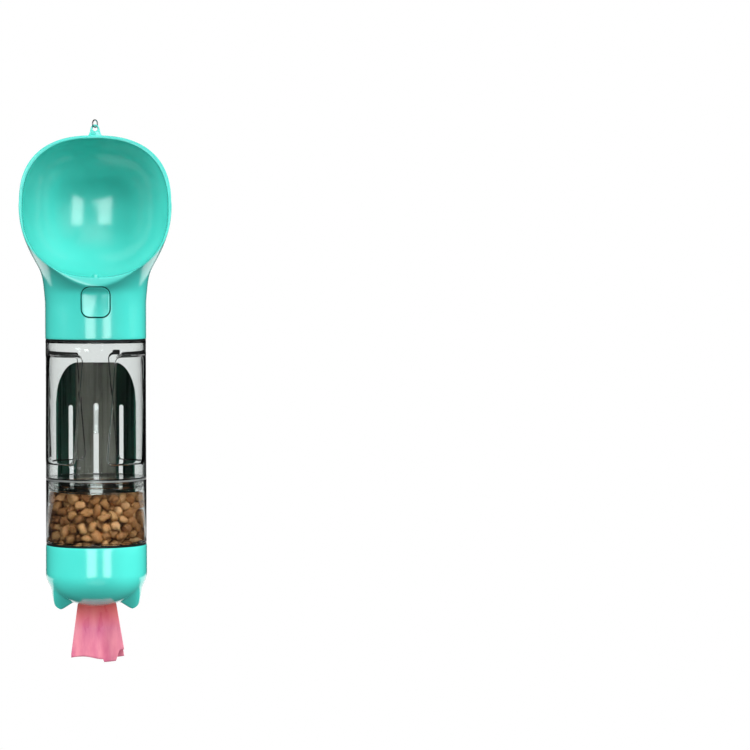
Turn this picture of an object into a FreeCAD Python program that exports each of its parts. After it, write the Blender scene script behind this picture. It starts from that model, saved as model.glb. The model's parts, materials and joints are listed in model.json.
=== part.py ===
"""Pet travel water bottle: drinking head, clear bottle with shovel, food cup and waste-bag box.

Heights are measured from the seam between head and bottle, with the bottle's axis on Z and
the bowl facing -Y. Each finished part is then placed so that the origin lies where the
hanging ring bears on its hook.
"""
import FreeCAD, Part
import math
import operator
import os
from types import SimpleNamespace

import Sketcher

Vector = FreeCAD.Vector

# name, millimetres or degrees, what it is
SIZES = [
    ("neck_radius", 31.6, "outside of the head's neck"),
    ("shell_wall", 2.0, "head shell wall"),
    ("lip_height", 38.5, "lowest point of the bowl's edge above the seam"),
    ("lip_proud", 1.4, "bowl's edge in front of the neck at the lip"),
    ("rim_lean", 0.16, "run back of the rim plane per unit of height"),
    ("hood_width_height", 84.0, "height of the widest place of the hood"),
    ("hood_half_width", 46.9, "half of the hood's greatest width"),
    ("hood_above", 42.5, "hood above its widest place"),
    ("hood_below", 56.0, "hood below its widest place, before it blends into the neck"),
    ("hood_depth", 46.0, "hood behind the rim plane at its widest place"),
    ("hood_start", 25.0, "height where the neck starts to open into the hood"),
    ("bowl_half_width", 45.2, "half width of the bowl's opening"),
    ("bowl_half_height", 43.6, "half height of the bowl's opening, along the rim plane"),
    ("bowl_depth", 44.0, "depth of the bowl behind the rim plane"),
    ("cavity_top", 66.0, "top of the hollow behind the bowl"),
    ("rim_wall", 2.3, "head shell behind the rim plane"),
    ("boss_height", 5.0, "boss that carries the water outlet up to the bowl's floor"),
    ("eye_rise", 4.1, "centre of the eye above the hood"),
    ("eye_radius", 1.5, "eye in the hanging ear"),
    ("ear_bridge", 1.2, "material over the eye"),
    ("ear_thick", 1.6, "hanging ear, front to back"),
    ("ear_base", 4.9, "half width of the ear's foot"),
    ("ear_set_back", 2.22, "middle of the ear behind the rim plane at the hood's top"),
    ("ear_root", 2.0, "how deep the ear's foot sits in the hood"),
    ("ear_side_top", 0.6, "where the ear's straight sides end, above the eye's centre"),
    ("eye_chamfer", 0.5, "edge break of the eye"),
    ("ring_radius", 2.3, "centreline of the wire ring"),
    ("wire_radius", 0.4, "wire of the ring"),
    ("ring_gap", 0.25, "ring below the top of the eye"),
    ("ring_turn", 40.0, "turn of the ring's plane about the vertical, degrees"),
    ("button_half_width", 9.25, "push button"),
    ("button_low", 13.5, "lower edge of the button"),
    ("button_high", 33.0, "upper edge of the button"),
    ("button_corner", 5.6, "corner radius of the button"),
    ("button_proud", 0.5, "button face outside the neck"),
    ("button_back", -28.6, "back of the button"),
    ("button_gap", 0.3, "gap round the button"),
    ("button_stroke", 2.0, "travel of button and valve"),
    ("button_reserve", 0.2, "room left behind the button when pressed"),
    ("well_floor_thick", 2.4, "floor of the button well"),
    ("well_wall", 1.8, "sides of the button well"),
    ("shank_height", 24.0, "axis of the button's shank"),
    ("shank_radius", 2.0, "button's shank"),
    ("run_fit", 0.08, "radial play of pieces that turn or slide in each other"),
    ("seat_gap", 0.05, "play between pieces that are seated on each other"),
    ("oring_major", 2.7, "ring seal on the shank, centreline"),
    ("oring_minor", 0.6, "ring seal on the shank, cord radius"),
    ("valve_y", -18.3, "axis of the valve, place front to back"),
    ("valve_low", 11.0, "lower end of the valve housing"),
    ("valve_high", 35.6, "upper end of the valve housing"),
    ("housing_radius", 5.6, "outside of the valve housing"),
    ("housing_bore", 3.9, "bore of the valve housing"),
    ("housing_floor", 1.0, "lower plate of the valve housing"),
    ("window_half", 1.5, "half width of the water windows"),
    ("window_tall", 4.0, "height of the water windows"),
    ("stem_radius", 1.3, "valve stem"),
    ("stem_tail", 0.4, "stem below the housing when shut"),
    ("foot_radius", 2.2, "collar on the stem under the plug"),
    ("foot_low", 16.8, "lower face of that collar"),
    ("foot_thick", 0.8, "thickness of that collar"),
    ("plug_radius", 3.3, "rubber plug"),
    ("plug_thick", 1.5, "rubber plug"),
    ("seat_thick", 1.2, "rubber seat ring"),
    ("seat_bore", 2.2, "hole of the seat ring"),
    ("spring_radius", 1.85, "centreline of the valve spring"),
    ("spring_wire", 0.25, "wire radius of the valve spring"),
    ("spring_turns", 4.0, "turns of the valve spring"),
    ("spring_steps", 16.0, "flats in each turn of it"),
    ("spring_sides", 8.0, "flats round its wire"),
    ("nozzle_radius", 2.2, "water outlet"),
    ("nozzle_bore", 1.1, "hole of the water outlet"),
    ("nozzle_top", 40.2, "top of the outlet, above the bowl's floor"),
    ("flange_thick", 1.9, "flange that holds the outlet in the housing"),
    ("collar_wall", 2.1, "threaded collar in the neck"),
    ("collar_high", 9.0, "top of the collar's threaded part"),
    ("collar_flange", 1.6, "flange on top of the collar"),
    ("collar_gap", 0.15, "glue gap between collar and head shell"),
    ("neck_seal", 1.2, "ring seal between head and bottle"),
    ("seal_inset", 0.2, "ring seals inside the outer wall"),
    ("bottle_radius", 31.5, "bottle and food cup"),
    ("bottle_wall", 2.1, "wall of the bottle"),
    ("mouth_radius", 26.0, "outside of the bottle's neck"),
    ("mouth_top", 8.5, "top of the bottle's neck"),
    ("bottle_low", -87.3, "lower end of the bottle's full width"),
    ("floor_low", -86.5, "underside of the bottle's floor"),
    ("spigot_radius", 29.22, "threaded spigot under the bottle"),
    ("spigot_low", -98.5, "lower end of that spigot"),
    ("spigot_wall", 1.9, "wall of that spigot"),
    ("grip_depth", 1.4, "depth of the grip recesses"),
    ("grip_top", -7.9, "upper edge of the grips"),
    ("grip_low", -79.0, "lower edge of the grips"),
    ("grip_start", 13.9, "front edge of a grip at its top, degrees from the front"),
    ("grip_span", 143.4, "degrees round the bottle that a grip covers"),
    ("grip_twist", 11.3, "degrees a grip leans over its height"),
    ("grip_margin", 1.2, "how far the inner bulge reaches beyond the grip"),
    ("shovel_top", -16.0, "top edge of the shovel"),
    ("shovel_low", -126.0, "end of the shovel's handle"),
    ("blade_low", -104.0, "where the blade starts to narrow into the handle"),
    ("handle_taper", 10.0, "height over which it narrows"),
    ("shovel_y", 31.9, "inner face of the shovel's middle panel"),
    ("shovel_thick", 1.6, "shovel sheet"),
    ("fold_x", 12.5, "fold lines of the shovel"),
    ("shovel_half", 24.6, "half width of the shovel"),
    ("wing_drop", 11.2, "how far the wings come forward at their edge"),
    ("shovel_corner", 11.5, "corner radius of the shovel's top"),
    ("handle_half", 9.0, "half width of the shovel's handle"),
    ("slot_top", -42.0, "top of the middle slot"),
    ("slot_low", -94.0, "lower end of the middle slot"),
    ("side_slot_drop", 1.0, "top of the side slots below that of the middle one"),
    ("side_slot_low", -96.0, "lower end of the side slots"),
    ("slot_half", 1.7, "half width of the middle slot"),
    ("side_slot_half", 1.3, "half width of the side slots"),
    ("side_slot_x", 16.2, "place of the side slots"),
    ("key_half", 4.0, "half width of the opening that lets the rail's head through"),
    ("key_top", -92.0, "top of that opening"),
    ("key_low", -113.5, "lower end of that opening"),
    ("rail_length", 18.3, "rail on the bottle that the shovel hangs on"),
    ("rail_drop", 1.0, "top of the rail below the round end of the slot"),
    ("rail_neck", 1.4, "half width of the rail's neck"),
    ("rail_head", 3.5, "half width of the rail's head"),
    ("rail_head_thick", 1.2, "thickness of the rail's head"),
    ("rail_play", 0.3, "play of the shovel on the rail"),
    ("cup_wall", 2.2, "wall of the food cup"),
    ("cup_gasket", 1.0, "ring seal between bottle and food cup"),
    ("cup_low", -127.8, "lower end of the cup's full width"),
    ("base_radius", 28.8, "narrow base of the cup that screws into the bag box"),
    ("base_low", -132.5, "underside of that base"),
    ("kibble_top", -99.2, "level of the kibble"),
    ("heap_rise", 2.4, "kibble heaped inside the spigot"),
    ("heap_gap", 0.5, "heap inside the spigot's wall"),
    ("heap_edge", 5.0, "sloping edge of the heap"),
    ("base_seal", 1.2, "ring seal between cup and bag box"),
    ("box_radius", 31.7, "bag box"),
    ("box_band_low", -146.5, "where the bag box starts to close into its dome"),
    ("box_dome", 21.5, "height of the dome outside"),
    ("box_floor", 2.2, "bag box wall at the bottom"),
    ("cat_x", 20.3, "middle of a cat ear"),
    ("cat_height", -160.0, "centre of a cat ear"),
    ("cat_half_width", 7.0, "cat ear, half width"),
    ("cat_half_depth", 8.0, "cat ear, half size front to back"),
    ("cat_half_tall", 10.5, "cat ear, half height"),
    ("outlet_half", 12.8, "half width of the bag slot"),
    ("outlet_depth", 3.5, "half size of the bag slot front to back"),
    ("roll_radius", 12.5, "wound bag roll"),
    ("roll_half", 23.0, "half length of the bag roll"),
    ("roll_height", -145.35, "axis of the bag roll"),
    ("core_radius", 5.5, "cardboard tube in the roll"),
    ("core_wall", 0.8, "cardboard tube in the roll"),
    ("tail_end", -203.5, "lower end of the hanging film"),
    ("tail_top_half", 11.6, "half width of the film in the slot"),
    ("tail_end_half", 16.0, "half width of the film at its end"),
    ("tail_thick", 0.7, "folded film"),
    ("tail_fold", 1.1, "front to back size of the film's folds in the slot"),
    ("tail_fold_end", 4.0, "front to back size of the film's folds at its end"),
]


class Size:
    """A length together with the sheet expression that gives it."""

    def __init__(self, value, text):
        self.value = value
        self.text = text

    def join(self, sign, other, swap=False):
        left, right = (other, self) if swap else (self, other)
        work = {"+": operator.add, "-": operator.sub, "*": operator.mul, "/": operator.truediv}
        return Size(work[sign](number(left), number(right)), "(%s %s %s)" % (text(left), sign, text(right)))

    def __add__(self, other):
        return self.join("+", other)

    def __radd__(self, other):
        return self.join("+", other, swap=True)

    def __sub__(self, other):
        return self.join("-", other)

    def __rsub__(self, other):
        return self.join("-", other, swap=True)

    def __mul__(self, other):
        return self.join("*", other)

    def __rmul__(self, other):
        return self.join("*", other, swap=True)

    def __truediv__(self, other):
        return self.join("/", other)

    def __neg__(self):
        return Size(-self.value, "(-%s)" % self.text)


def number(size):
    return size.value if isinstance(size, Size) else float(size)


def text(size):
    return size.text if isinstance(size, Size) else repr(float(size))


doc = FreeCAD.newDocument("PetTravelBottle")
sheet = doc.addObject("Spreadsheet::Sheet", "Sizes")
S = SimpleNamespace()
for row, (name, value, meaning) in enumerate(SIZES, 1):
    sheet.set("A%d" % row, name)
    sheet.set("B%d" % row, str(value))
    sheet.set("C%d" % row, meaning)
    sheet.setAlias("B%d" % row, name)
    setattr(S, name, Size(value, "Sizes." + name))
doc.recompute()


# Sizes that follow from others, so that pieces that meet stay together.
lip_reach = S.neck_radius + S.lip_proud
hood_top = S.hood_width_height + S.hood_above
eye_height = hood_top + S.eye_rise
ear_y = S.rim_lean * (hood_top - S.lip_height) - lip_reach + S.ear_set_back
bottle_top = -(S.neck_seal + 2 * S.seat_gap)
shank_back = S.valve_y + S.stem_radius
well_floor = S.button_back + S.button_stroke + S.button_reserve
ring_height = eye_height + S.eye_radius - S.ring_gap - S.wire_radius + S.ring_radius
hang_drop = ring_height + S.ring_radius - S.wire_radius
plug_low = S.foot_low + S.foot_thick
seat_low = plug_low + S.plug_thick + S.seat_gap
cup_top = S.bottle_low - S.cup_gasket - 2 * S.seat_gap
cup_bore = S.spigot_radius + S.run_fit
box_top = S.cup_low - S.base_seal - 2 * S.seat_gap
box_bore = S.base_radius + S.run_fit


def bind(thing, place, size):
    """Give a property its size and keep it tied to the sheet."""
    if isinstance(size, Size):
        thing.setExpression(place, size.text)
    else:
        thing.setExpression(place, repr(float(size)))


def place(thing, x=0, y=0, z=0):
    for axis, size in zip("xyz", (x, y, z)):
        if isinstance(size, Size) or size:
            bind(thing, "Placement.Base." + axis, size)
    return thing


def sketch_on(body, name, plane, points, lift=0):
    """A closed outline on one of the body's own planes, every corner dimensioned."""
    sketch = body.newObject("Sketcher::SketchObject", name)
    support = [item for item in body.Origin.OriginFeatures if item.Role == plane][0]
    sketch.AttachmentSupport = [(support, "")]
    sketch.MapMode = "FlatFace"
    bind(sketch, "AttachmentOffset.Base.z", lift)
    count = len(points)
    corners = [Vector(number(u), number(v), 0) for u, v in points]
    for i in range(count):
        sketch.addGeometry(Part.LineSegment(corners[i], corners[(i + 1) % count]), False)
    for i in range(count):
        sketch.addConstraint(Sketcher.Constraint("Coincident", i, 2, (i + 1) % count, 1))
    for i, corner in enumerate(points):
        for kind, size in zip(("DistanceX", "DistanceY"), corner):
            index = sketch.addConstraint(Sketcher.Constraint(kind, -1, 1, i, 1, number(size)))
            if isinstance(size, Size):
                sketch.setExpression("Constraints[%d]" % index, size.text)
    return sketch


def revolved(name, points):
    """A body turned about Z from points given as (radius, height)."""
    body = doc.addObject("PartDesign::Body", name)
    sketch = sketch_on(body, name + "_profile", "XZ_Plane", points)
    turn = body.newObject("PartDesign::Revolution", name + "_turn")
    turn.Profile = sketch
    turn.ReferenceAxis = (sketch, ["V_Axis"])
    turn.Angle = 360
    sketch.Visibility = False
    return body


def padded(name, plane, points, lift, length):
    """A body raised from an outline along the plane's normal."""
    body = doc.addObject("PartDesign::Body", name)
    sketch = sketch_on(body, name + "_outline", plane, points, lift)
    pad = body.newObject("PartDesign::Pad", name + "_pad")
    pad.Profile = sketch
    bind(pad, "Length", length)
    sketch.Visibility = False
    doc.recompute()
    return body


def rounded(body, name, radius, wanted):
    """Fillet the edges of the body's last feature that the test picks."""
    base = body.Tip
    names = ["Edge%d" % i for i, edge in enumerate(base.Shape.Edges, 1) if wanted(edge)]
    fillet = body.newObject("PartDesign::Fillet", name)
    fillet.Base = (base, names)
    bind(fillet, "Radius", radius)
    doc.recompute()
    return body


def runs_along(axis):
    """Test for straight edges that run along an axis."""
    def test(edge):
        ends = [vertex.Point for vertex in edge.Vertexes]
        if len(ends) < 2:
            return False
        run = ends[1] - ends[0]
        return run.Length > 0.01 and abs(run.normalize().dot(axis)) > 0.999
    return test


def block(name, x, y, z):
    """A box between two values on each axis."""
    box = doc.addObject("Part::Box", name)
    for prop, (low, high) in zip(("Length", "Width", "Height"), (x, y, z)):
        bind(box, prop, high - low)
    return place(box, x[0], y[0], z[0])


def rod(name, radius, length, x=0, y=0, z=0, along=Vector(0, 0, 1)):
    cylinder = doc.addObject("Part::Cylinder", name)
    bind(cylinder, "Radius", radius)
    bind(cylinder, "Height", length)
    cylinder.Placement = FreeCAD.Placement(Vector(0, 0, 0), FreeCAD.Rotation(Vector(0, 0, 1), along))
    return place(cylinder, x, y, z)


def fused(name, *shapes):
    union = doc.addObject("Part::MultiFuse", name)
    union.Shapes = list(shapes)
    return union


def cut(name, base, *tools):
    tool = tools[0] if len(tools) == 1 else fused(name + "_tools", *tools)
    result = doc.addObject("Part::Cut", name)
    result.Base = base
    result.Tool = tool
    return result


def common(name, first, second):
    result = doc.addObject("Part::Common", name)
    result.Base = first
    result.Tool = second
    return result


def shaped(name, shape):
    """A computed surface body, read from the sheet's values above."""
    feature = doc.addObject("Part::Feature", name)
    feature.Shape = shape
    return feature


finished = []


def finish(thing, name, x=0, y=0, z=0):
    """Name a finished part, put it in its place and hang the whole from the ring."""
    thing.Label = name
    place(thing, x, y - ear_y, z - hang_drop)
    finished.append(thing)
    return thing


# Head shell. The hood is a loft of ellipses that grow out of the round neck, cut off by a
# rim plane that leans back, and hollowed by a bowl lofted behind that plane.
def ease(t):
    t = min(max(t, 0.0), 1.0)
    return t * t * (3.0 - 2.0 * t)


UPPER_POWER = 2.45
LOWER_POWER = 2.3
NECK_BLEND = 8
SECTION_STEP = 5.0
CROWN_DROPS = (3.2, 1.8, 0.9, 0.25)
CENTRE_START = 28.0
CENTRE_END = 78.0
FRONT_REACH = 40.0


def rim_y(z):
    return -lip_reach.value + S.rim_lean.value * (z - S.lip_height.value)


def hood_fraction(z):
    """Share of the hood's full size left at a height."""
    rise = z - S.hood_width_height.value
    if rise >= 0:
        share = min(rise / S.hood_above.value, 1.0)
        return (1.0 - share ** UPPER_POWER) ** (1.0 / UPPER_POWER)
    share = min(-rise / S.hood_below.value, 1.0)
    return math.sqrt(1.0 - share * share)


def hood_section(z, inset=0.0):
    """Half width, half depth and centre of the head's outline at a height."""
    wide = S.hood_half_width.value * hood_fraction(z)
    if z < S.hood_width_height.value:
        neck = S.neck_radius.value
        wide = (wide ** NECK_BLEND + neck ** NECK_BLEND) ** (1.0 / NECK_BLEND)
        back_high = rim_y(S.hood_width_height.value) + S.hood_depth.value
        share = ease((z - S.hood_start.value) / (S.hood_width_height.value - S.hood_start.value))
        back = neck + (back_high - neck) * share
    else:
        back = rim_y(z) + S.hood_depth.value * hood_fraction(z)
    centre = rim_y(z) * ease((z - CENTRE_START) / (CENTRE_END - CENTRE_START))
    return wide - inset, back - centre - inset, centre


def stretched(curve, wide, deep, centre, across, along):
    """The unit outline stretched to two half sizes and laid in the plane of two directions."""
    normal = across.cross(along)
    matrix = FreeCAD.Matrix(
        across.x * wide, along.x * deep, normal.x, centre.x,
        across.y * wide, along.y * deep, normal.y, centre.y,
        across.z * wide, along.z * deep, normal.z, centre.z,
        0, 0, 0, 1)
    return Part.Wire(curve.transformGeometry(matrix).Edges)


def loft(sections):
    return Part.makeLoft(sections, True, False)


def unit_outline(upper_power, lower_power):
    """Outline of half size 1 in four arcs; power 2 gives a circle, more a squarer shape."""
    def at(turn):
        x, y = math.cos(turn), math.sin(turn)
        power = upper_power if y > 0 else lower_power
        reach = (abs(x) ** power + abs(y) ** power) ** (-1.0 / power)
        return Vector(x * reach, y * reach, 0)

    def heading(turn):
        nudge = 1e-4
        return (at(turn + nudge) - at(turn - nudge)).normalize()

    arcs = []
    steps = 6
    quarter = math.pi / 2
    for i in range(4):
        start = quarter * (i + 0.5)
        points = [at(start + quarter * step / steps) for step in range(steps + 1)]
        curve = Part.BSplineCurve()
        curve.interpolate(Points=points, InitialTangent=heading(start), FinalTangent=heading(start + quarter))
        arcs.append(curve.toShape())
    return Part.Wire(arcs)


def head_solid(low, high, inset=0.0, crown=()):
    """The head's outside from the neck's foot up, or the same drawn in by a wall."""
    circle = unit_outline(2.0, 2.0)
    count = round((high - low) / SECTION_STEP)
    heights = [low + (high - low) * i / count for i in range(count)]
    heights += [high - drop for drop in crown] if crown else [high]
    sections = []
    for z in heights:
        wide, deep, centre = hood_section(z, inset)
        sections.append(stretched(circle, wide, deep, Vector(0, centre, z), Vector(1, 0, 0), Vector(0, 1, 0)))
    return loft(sections)


def bowl_solid(grow=0.0):
    """The bowl's hollow, or the same grown by a wall."""
    lean = math.hypot(1.0, S.rim_lean.value)
    up = Vector(0, S.rim_lean.value / lean, 1.0 / lean)
    inward = Vector(0, 1.0 / lean, -S.rim_lean.value / lean)
    lip = Vector(0, -lip_reach.value, S.lip_height.value)
    centre = lip + up * S.bowl_half_height.value
    outline = unit_outline(UPPER_POWER, LOWER_POWER)
    wide = S.bowl_half_width.value + grow
    tall = S.bowl_half_height.value + grow
    deep = S.bowl_depth.value + grow
    sections = []
    for angle in (0, 14, 28, 42, 55, 67, 77, 84, 88):
        share = math.cos(math.radians(angle))
        middle = centre + inward * (deep * math.sin(math.radians(angle)))
        sections.append(stretched(outline, wide * share, tall * share, middle, Vector(1, 0, 0), up))
    hollow = loft(sections)
    front = stretched(outline, wide, tall, centre, Vector(1, 0, 0), up)
    open_front = Part.Face(front).extrude(inward * (-8.0))
    return hollow.fuse(open_front).removeSplitter()


def rim_cutter(name, behind):
    """Everything in front of the rim plane, moved back by a distance."""
    reach, below = 80.0, 24.0
    box = doc.addObject("Part::Box", name)
    box.Length = 2 * reach
    box.Width = reach
    box.Height = 2 * reach
    angle = -math.degrees(math.atan(S.rim_lean.value))
    turn = FreeCAD.Rotation(Vector(1, 0, 0), angle)
    corner = turn.multVec(Vector(-reach, -reach + behind, -below))
    box.Placement = FreeCAD.Placement(
        Vector(corner.x, corner.y - lip_reach.value, corner.z + S.lip_height.value), turn)
    return box


outside = shaped("head_outside", head_solid(0.0, hood_top.value, crown=CROWN_DROPS))
inside = shaped("head_inside", head_solid(-1.0, S.cavity_top.value, S.shell_wall.value))
bowl_back = shaped("bowl_wall", bowl_solid(S.shell_wall.value))
room = cut("head_room", inside, bowl_back, rim_cutter("hollow_front", S.rim_wall.value))
well_outer = block(
    "well_block",
    (-(S.button_half_width + S.button_gap + S.well_wall), S.button_half_width + S.button_gap + S.well_wall),
    (-S.neck_radius - 5, well_floor + S.well_floor_thick),
    (S.button_low - S.button_gap - S.well_wall, S.button_high + S.button_gap + S.well_wall))
boss = rod("nozzle_boss", S.housing_radius, S.boss_height, y=S.valve_y, z=S.valve_high + S.seat_gap)
hollow = cut("head_hollow", room, well_outer, boss)
skin = cut("head_skin", outside, hollow)
ear_tip = S.eye_radius + S.ear_bridge - 0.1
ear = padded("hanging_ear", "XZ_Plane", [
    (-S.ear_base, hood_top - S.ear_root),
    (S.ear_base, hood_top - S.ear_root),
    (ear_tip, eye_height + S.ear_side_top),
    (-ear_tip, eye_height + S.ear_side_top),
], -ear_y - S.ear_thick / 2, S.ear_thick)
ear_head = rod("ear_head", S.eye_radius + S.ear_bridge, S.ear_thick,
               y=ear_y - S.ear_thick / 2, z=eye_height, along=Vector(0, 1, 0))
whole_ear = fused("ear_solid", ear, ear_head)


def button_shape(name, grow, front, back):
    """Rounded square from a front to a back place, grown by a gap."""
    body = padded(name, "XZ_Plane", [
        (-(S.button_half_width + grow), S.button_low - grow),
        (S.button_half_width + grow, S.button_low - grow),
        (S.button_half_width + grow, S.button_high + grow),
        (-(S.button_half_width + grow), S.button_high + grow),
    ], -back, back - front)
    return rounded(body, name + "_corners", S.button_corner + grow, runs_along(Vector(0, 1, 0)))


well = button_shape("button_well", S.button_gap, -FRONT_REACH, well_floor)
shank_hole = rod("shank_hole", S.shank_radius + S.run_fit, 12, y=-30, z=S.shank_height, along=Vector(0, 1, 0))
seal_pocket = rod("seal_pocket", S.oring_major + S.oring_minor + 0.1, 2 * S.oring_minor + S.seat_gap,
                  y=well_floor, z=S.shank_height, along=Vector(0, 1, 0))
nozzle_hole = rod("nozzle_hole", S.nozzle_radius + S.seat_gap, 20, y=S.valve_y, z=S.valve_high - 1)
eye = rod("eye_hole", S.eye_radius, 6, y=ear_y - 3, z=eye_height, along=Vector(0, 1, 0))


def eye_bevel(name, side):
    cone = doc.addObject("Part::Cone", name)
    bind(cone, "Radius1", S.eye_radius + 2 * S.eye_chamfer)
    bind(cone, "Radius2", S.eye_radius)
    bind(cone, "Height", 2 * S.eye_chamfer)
    cone.Placement = FreeCAD.Placement(Vector(0, 0, 0), FreeCAD.Rotation(Vector(0, 0, 1), Vector(0, -side, 0)))
    return place(cone, 0, ear_y + side * (S.ear_thick / 2 + S.eye_chamfer), eye_height)


bowl = shaped("bowl_hollow", bowl_solid())
hollowed = cut("head_hollowed", skin, bowl)
trimmed = cut("head_trimmed", hollowed, rim_cutter("rim_front", 0.0))
pierced = cut("head_pierced", trimmed, well, shank_hole, seal_pocket, nozzle_hole)
pierced_ear = cut("ear_with_eye", whole_ear, eye, eye_bevel("eye_bevel_front", -1), eye_bevel("eye_bevel_back", 1))
head = fused("head_shell", pierced, pierced_ear)
finish(head, "head_shell")

# Wire ring through the eye, seen half turned.
ring = doc.addObject("Part::Torus", "hang_ring")
bind(ring, "Radius1", S.ring_radius)
bind(ring, "Radius2", S.wire_radius)
ring_turn = math.radians(S.ring_turn.value)
ring.Placement = FreeCAD.Placement(Vector(0, 0, 0), FreeCAD.Rotation(
    Vector(0, 0, 1), Vector(math.cos(ring_turn), -math.sin(ring_turn), 0)))
finish(ring, "hang_ring", y=ear_y, z=ring_height)


# Button with a shank whose slanted end drives the valve stem down.
def wedge_cutter(name, low):
    """A block on one side of the slanted plane where shank and stem meet."""
    wide, long, tall = 20.0, 40.0, 20.0
    box = doc.addObject("Part::Box", name)
    box.Length, box.Width, box.Height = wide, long, tall
    turn = FreeCAD.Rotation(Vector(1, 0, 0), 45)
    corner = turn.multVec(Vector(-wide / 2, -long / 2, low))
    box.Placement = FreeCAD.Placement(Vector(0, 0, 0), turn)
    return place(box, corner.x, S.valve_y + corner.y, S.shank_height + corner.z)


half_gap = S.seat_gap.value / 2
cap = common("button_cap", button_shape("button_block", 0, -FRONT_REACH, S.button_back),
             rod("button_face", S.neck_radius + S.button_proud, 60))
shank = cut("button_shank",
            rod("shank_rod", S.shank_radius, shank_back - S.button_back + 1, y=S.button_back - 1,
                z=S.shank_height, along=Vector(0, 1, 0)),
            wedge_cutter("shank_slant", half_gap - 20.0))
finish(fused("dispense_button", cap, shank), "dispense_button")

seal = doc.addObject("Part::Torus", "button_seal")
bind(seal, "Radius1", S.oring_major)
bind(seal, "Radius2", S.oring_minor)
seal.Placement = FreeCAD.Placement(Vector(0, 0, 0), FreeCAD.Rotation(Vector(0, 0, 1), Vector(0, 1, 0)))
finish(seal, "button_seal", y=well_floor + S.oring_minor + S.seat_gap / 2, z=S.shank_height)

# Valve: the plug is held up against the seat by the spring and opens downwards.
stem_bore = S.stem_radius + S.run_fit
spring_low = S.valve_low + S.housing_floor + S.seat_gap
housing_tube = revolved("housing_tube", [
    (stem_bore, S.valve_low), (S.housing_radius, S.valve_low), (S.housing_radius, S.valve_high),
    (S.housing_bore, S.valve_high), (S.housing_bore, S.valve_low + S.housing_floor),
    (stem_bore, S.valve_low + S.housing_floor)])
window = (S.valve_low + S.housing_floor + 0.3, S.valve_low + S.housing_floor + 0.3 + S.window_tall)
across = (-S.housing_radius - 1, S.housing_radius + 1)
narrow = (-S.window_half, S.window_half)
housing = cut("valve_housing", housing_tube, block("window_sides", across, narrow, window),
              block("window_ends", narrow, across, window),
              rod("shank_entry", S.shank_radius + S.run_fit, 8, y=-8, z=S.shank_height,
                  along=Vector(0, 1, 0)))
finish(housing, "valve_housing", y=S.valve_y)

finish(revolved("valve_seat", [
    (S.seat_bore, seat_low), (S.housing_bore - S.seat_gap, seat_low),
    (S.housing_bore - S.seat_gap, seat_low + S.seat_thick), (S.seat_bore, seat_low + S.seat_thick)]),
    "valve_seat", y=S.valve_y)

stem_top = S.shank_height + 2 * S.stem_radius
stem_rod = place(revolved("stem_rod", [
    (0, S.valve_low - S.stem_tail), (S.stem_radius, S.valve_low - S.stem_tail),
    (S.stem_radius, S.foot_low), (S.foot_radius, S.foot_low), (S.foot_radius, plug_low),
    (S.stem_radius, plug_low), (S.stem_radius, stem_top), (0, stem_top)]), y=S.valve_y)
finish(cut("valve_stem", stem_rod, wedge_cutter("stem_slant", -half_gap)), "valve_stem")

finish(revolved("valve_plug", [
    (S.stem_radius + S.seat_gap, plug_low), (S.plug_radius, plug_low),
    (S.plug_radius, plug_low + S.plug_thick), (S.stem_radius + S.seat_gap, plug_low + S.plug_thick)]),
    "valve_plug", y=S.valve_y)


def coil(radius, wire, pitch, turns, steps, sides):
    """A wire wound on a helix from height 0 up, with flats that keep the wire's volume."""
    flat_radius = wire * math.sqrt(2 * math.pi / (sides * math.sin(2 * math.pi / sides)))
    sections = []
    for step in range(int(turns * steps) + 1):
        turn = 2 * math.pi * step / steps
        outward = Vector(math.cos(turn), math.sin(turn), 0)
        ahead = Vector(-math.sin(turn) * radius, math.cos(turn) * radius, pitch / (2 * math.pi)).normalize()
        upward = outward.cross(ahead)
        middle = outward * radius + Vector(0, 0, pitch * turn / (2 * math.pi))
        corners = []
        for side in range(sides):
            lean = 2 * math.pi * side / sides
            corners.append(middle + (outward * math.cos(lean) + upward * math.sin(lean)) * flat_radius)
        sections.append(Part.makePolygon(corners + corners[:1]))
    return Part.makeLoft(sections, True, True)


spring_pitch = (S.foot_low - S.seat_gap - spring_low - 2 * S.spring_wire) / S.spring_turns
finish(shaped("valve_spring", coil(S.spring_radius.value, S.spring_wire.value, spring_pitch.value,
                                   S.spring_turns.value, S.spring_steps.value, int(S.spring_sides.value))),
       "valve_spring", y=S.valve_y, z=spring_low + S.spring_wire)

flange_low = S.valve_high - S.seat_gap - S.flange_thick
finish(revolved("outlet_nozzle", [
    (S.nozzle_bore, flange_low), (S.housing_bore - S.seat_gap, flange_low),
    (S.housing_bore - S.seat_gap, flange_low + S.flange_thick), (S.nozzle_radius, flange_low + S.flange_thick),
    (S.nozzle_radius, S.nozzle_top), (S.nozzle_bore, S.nozzle_top)]), "outlet_nozzle", y=S.valve_y)

# Threaded collar that the bottle's neck screws into, glued inside the head's neck.
collar_bore = S.mouth_radius + S.run_fit
skirt_radius = S.neck_radius - S.shell_wall - S.collar_gap
mouth_inner = S.mouth_radius - S.bottle_wall
finish(revolved("neck_collar", [
    (collar_bore, S.seat_gap), (collar_bore + S.collar_wall, S.seat_gap),
    (collar_bore + S.collar_wall, S.collar_high), (skirt_radius, S.collar_high),
    (skirt_radius, S.collar_high + S.collar_flange), (mouth_inner, S.collar_high + S.collar_flange),
    (mouth_inner, S.collar_high), (collar_bore, S.collar_high)]), "neck_collar")


def washer(name, inner, outer, low, thick):
    """A flat ring seal."""
    return finish(revolved(name, [(inner, low), (outer, low), (outer, low + thick), (inner, low + thick)]), name)


seal_outer = S.bottle_radius - S.seal_inset
washer("neck_seal_ring", S.mouth_radius + S.seal_inset, seal_outer, bottle_top + S.seat_gap, S.neck_seal)

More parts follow.
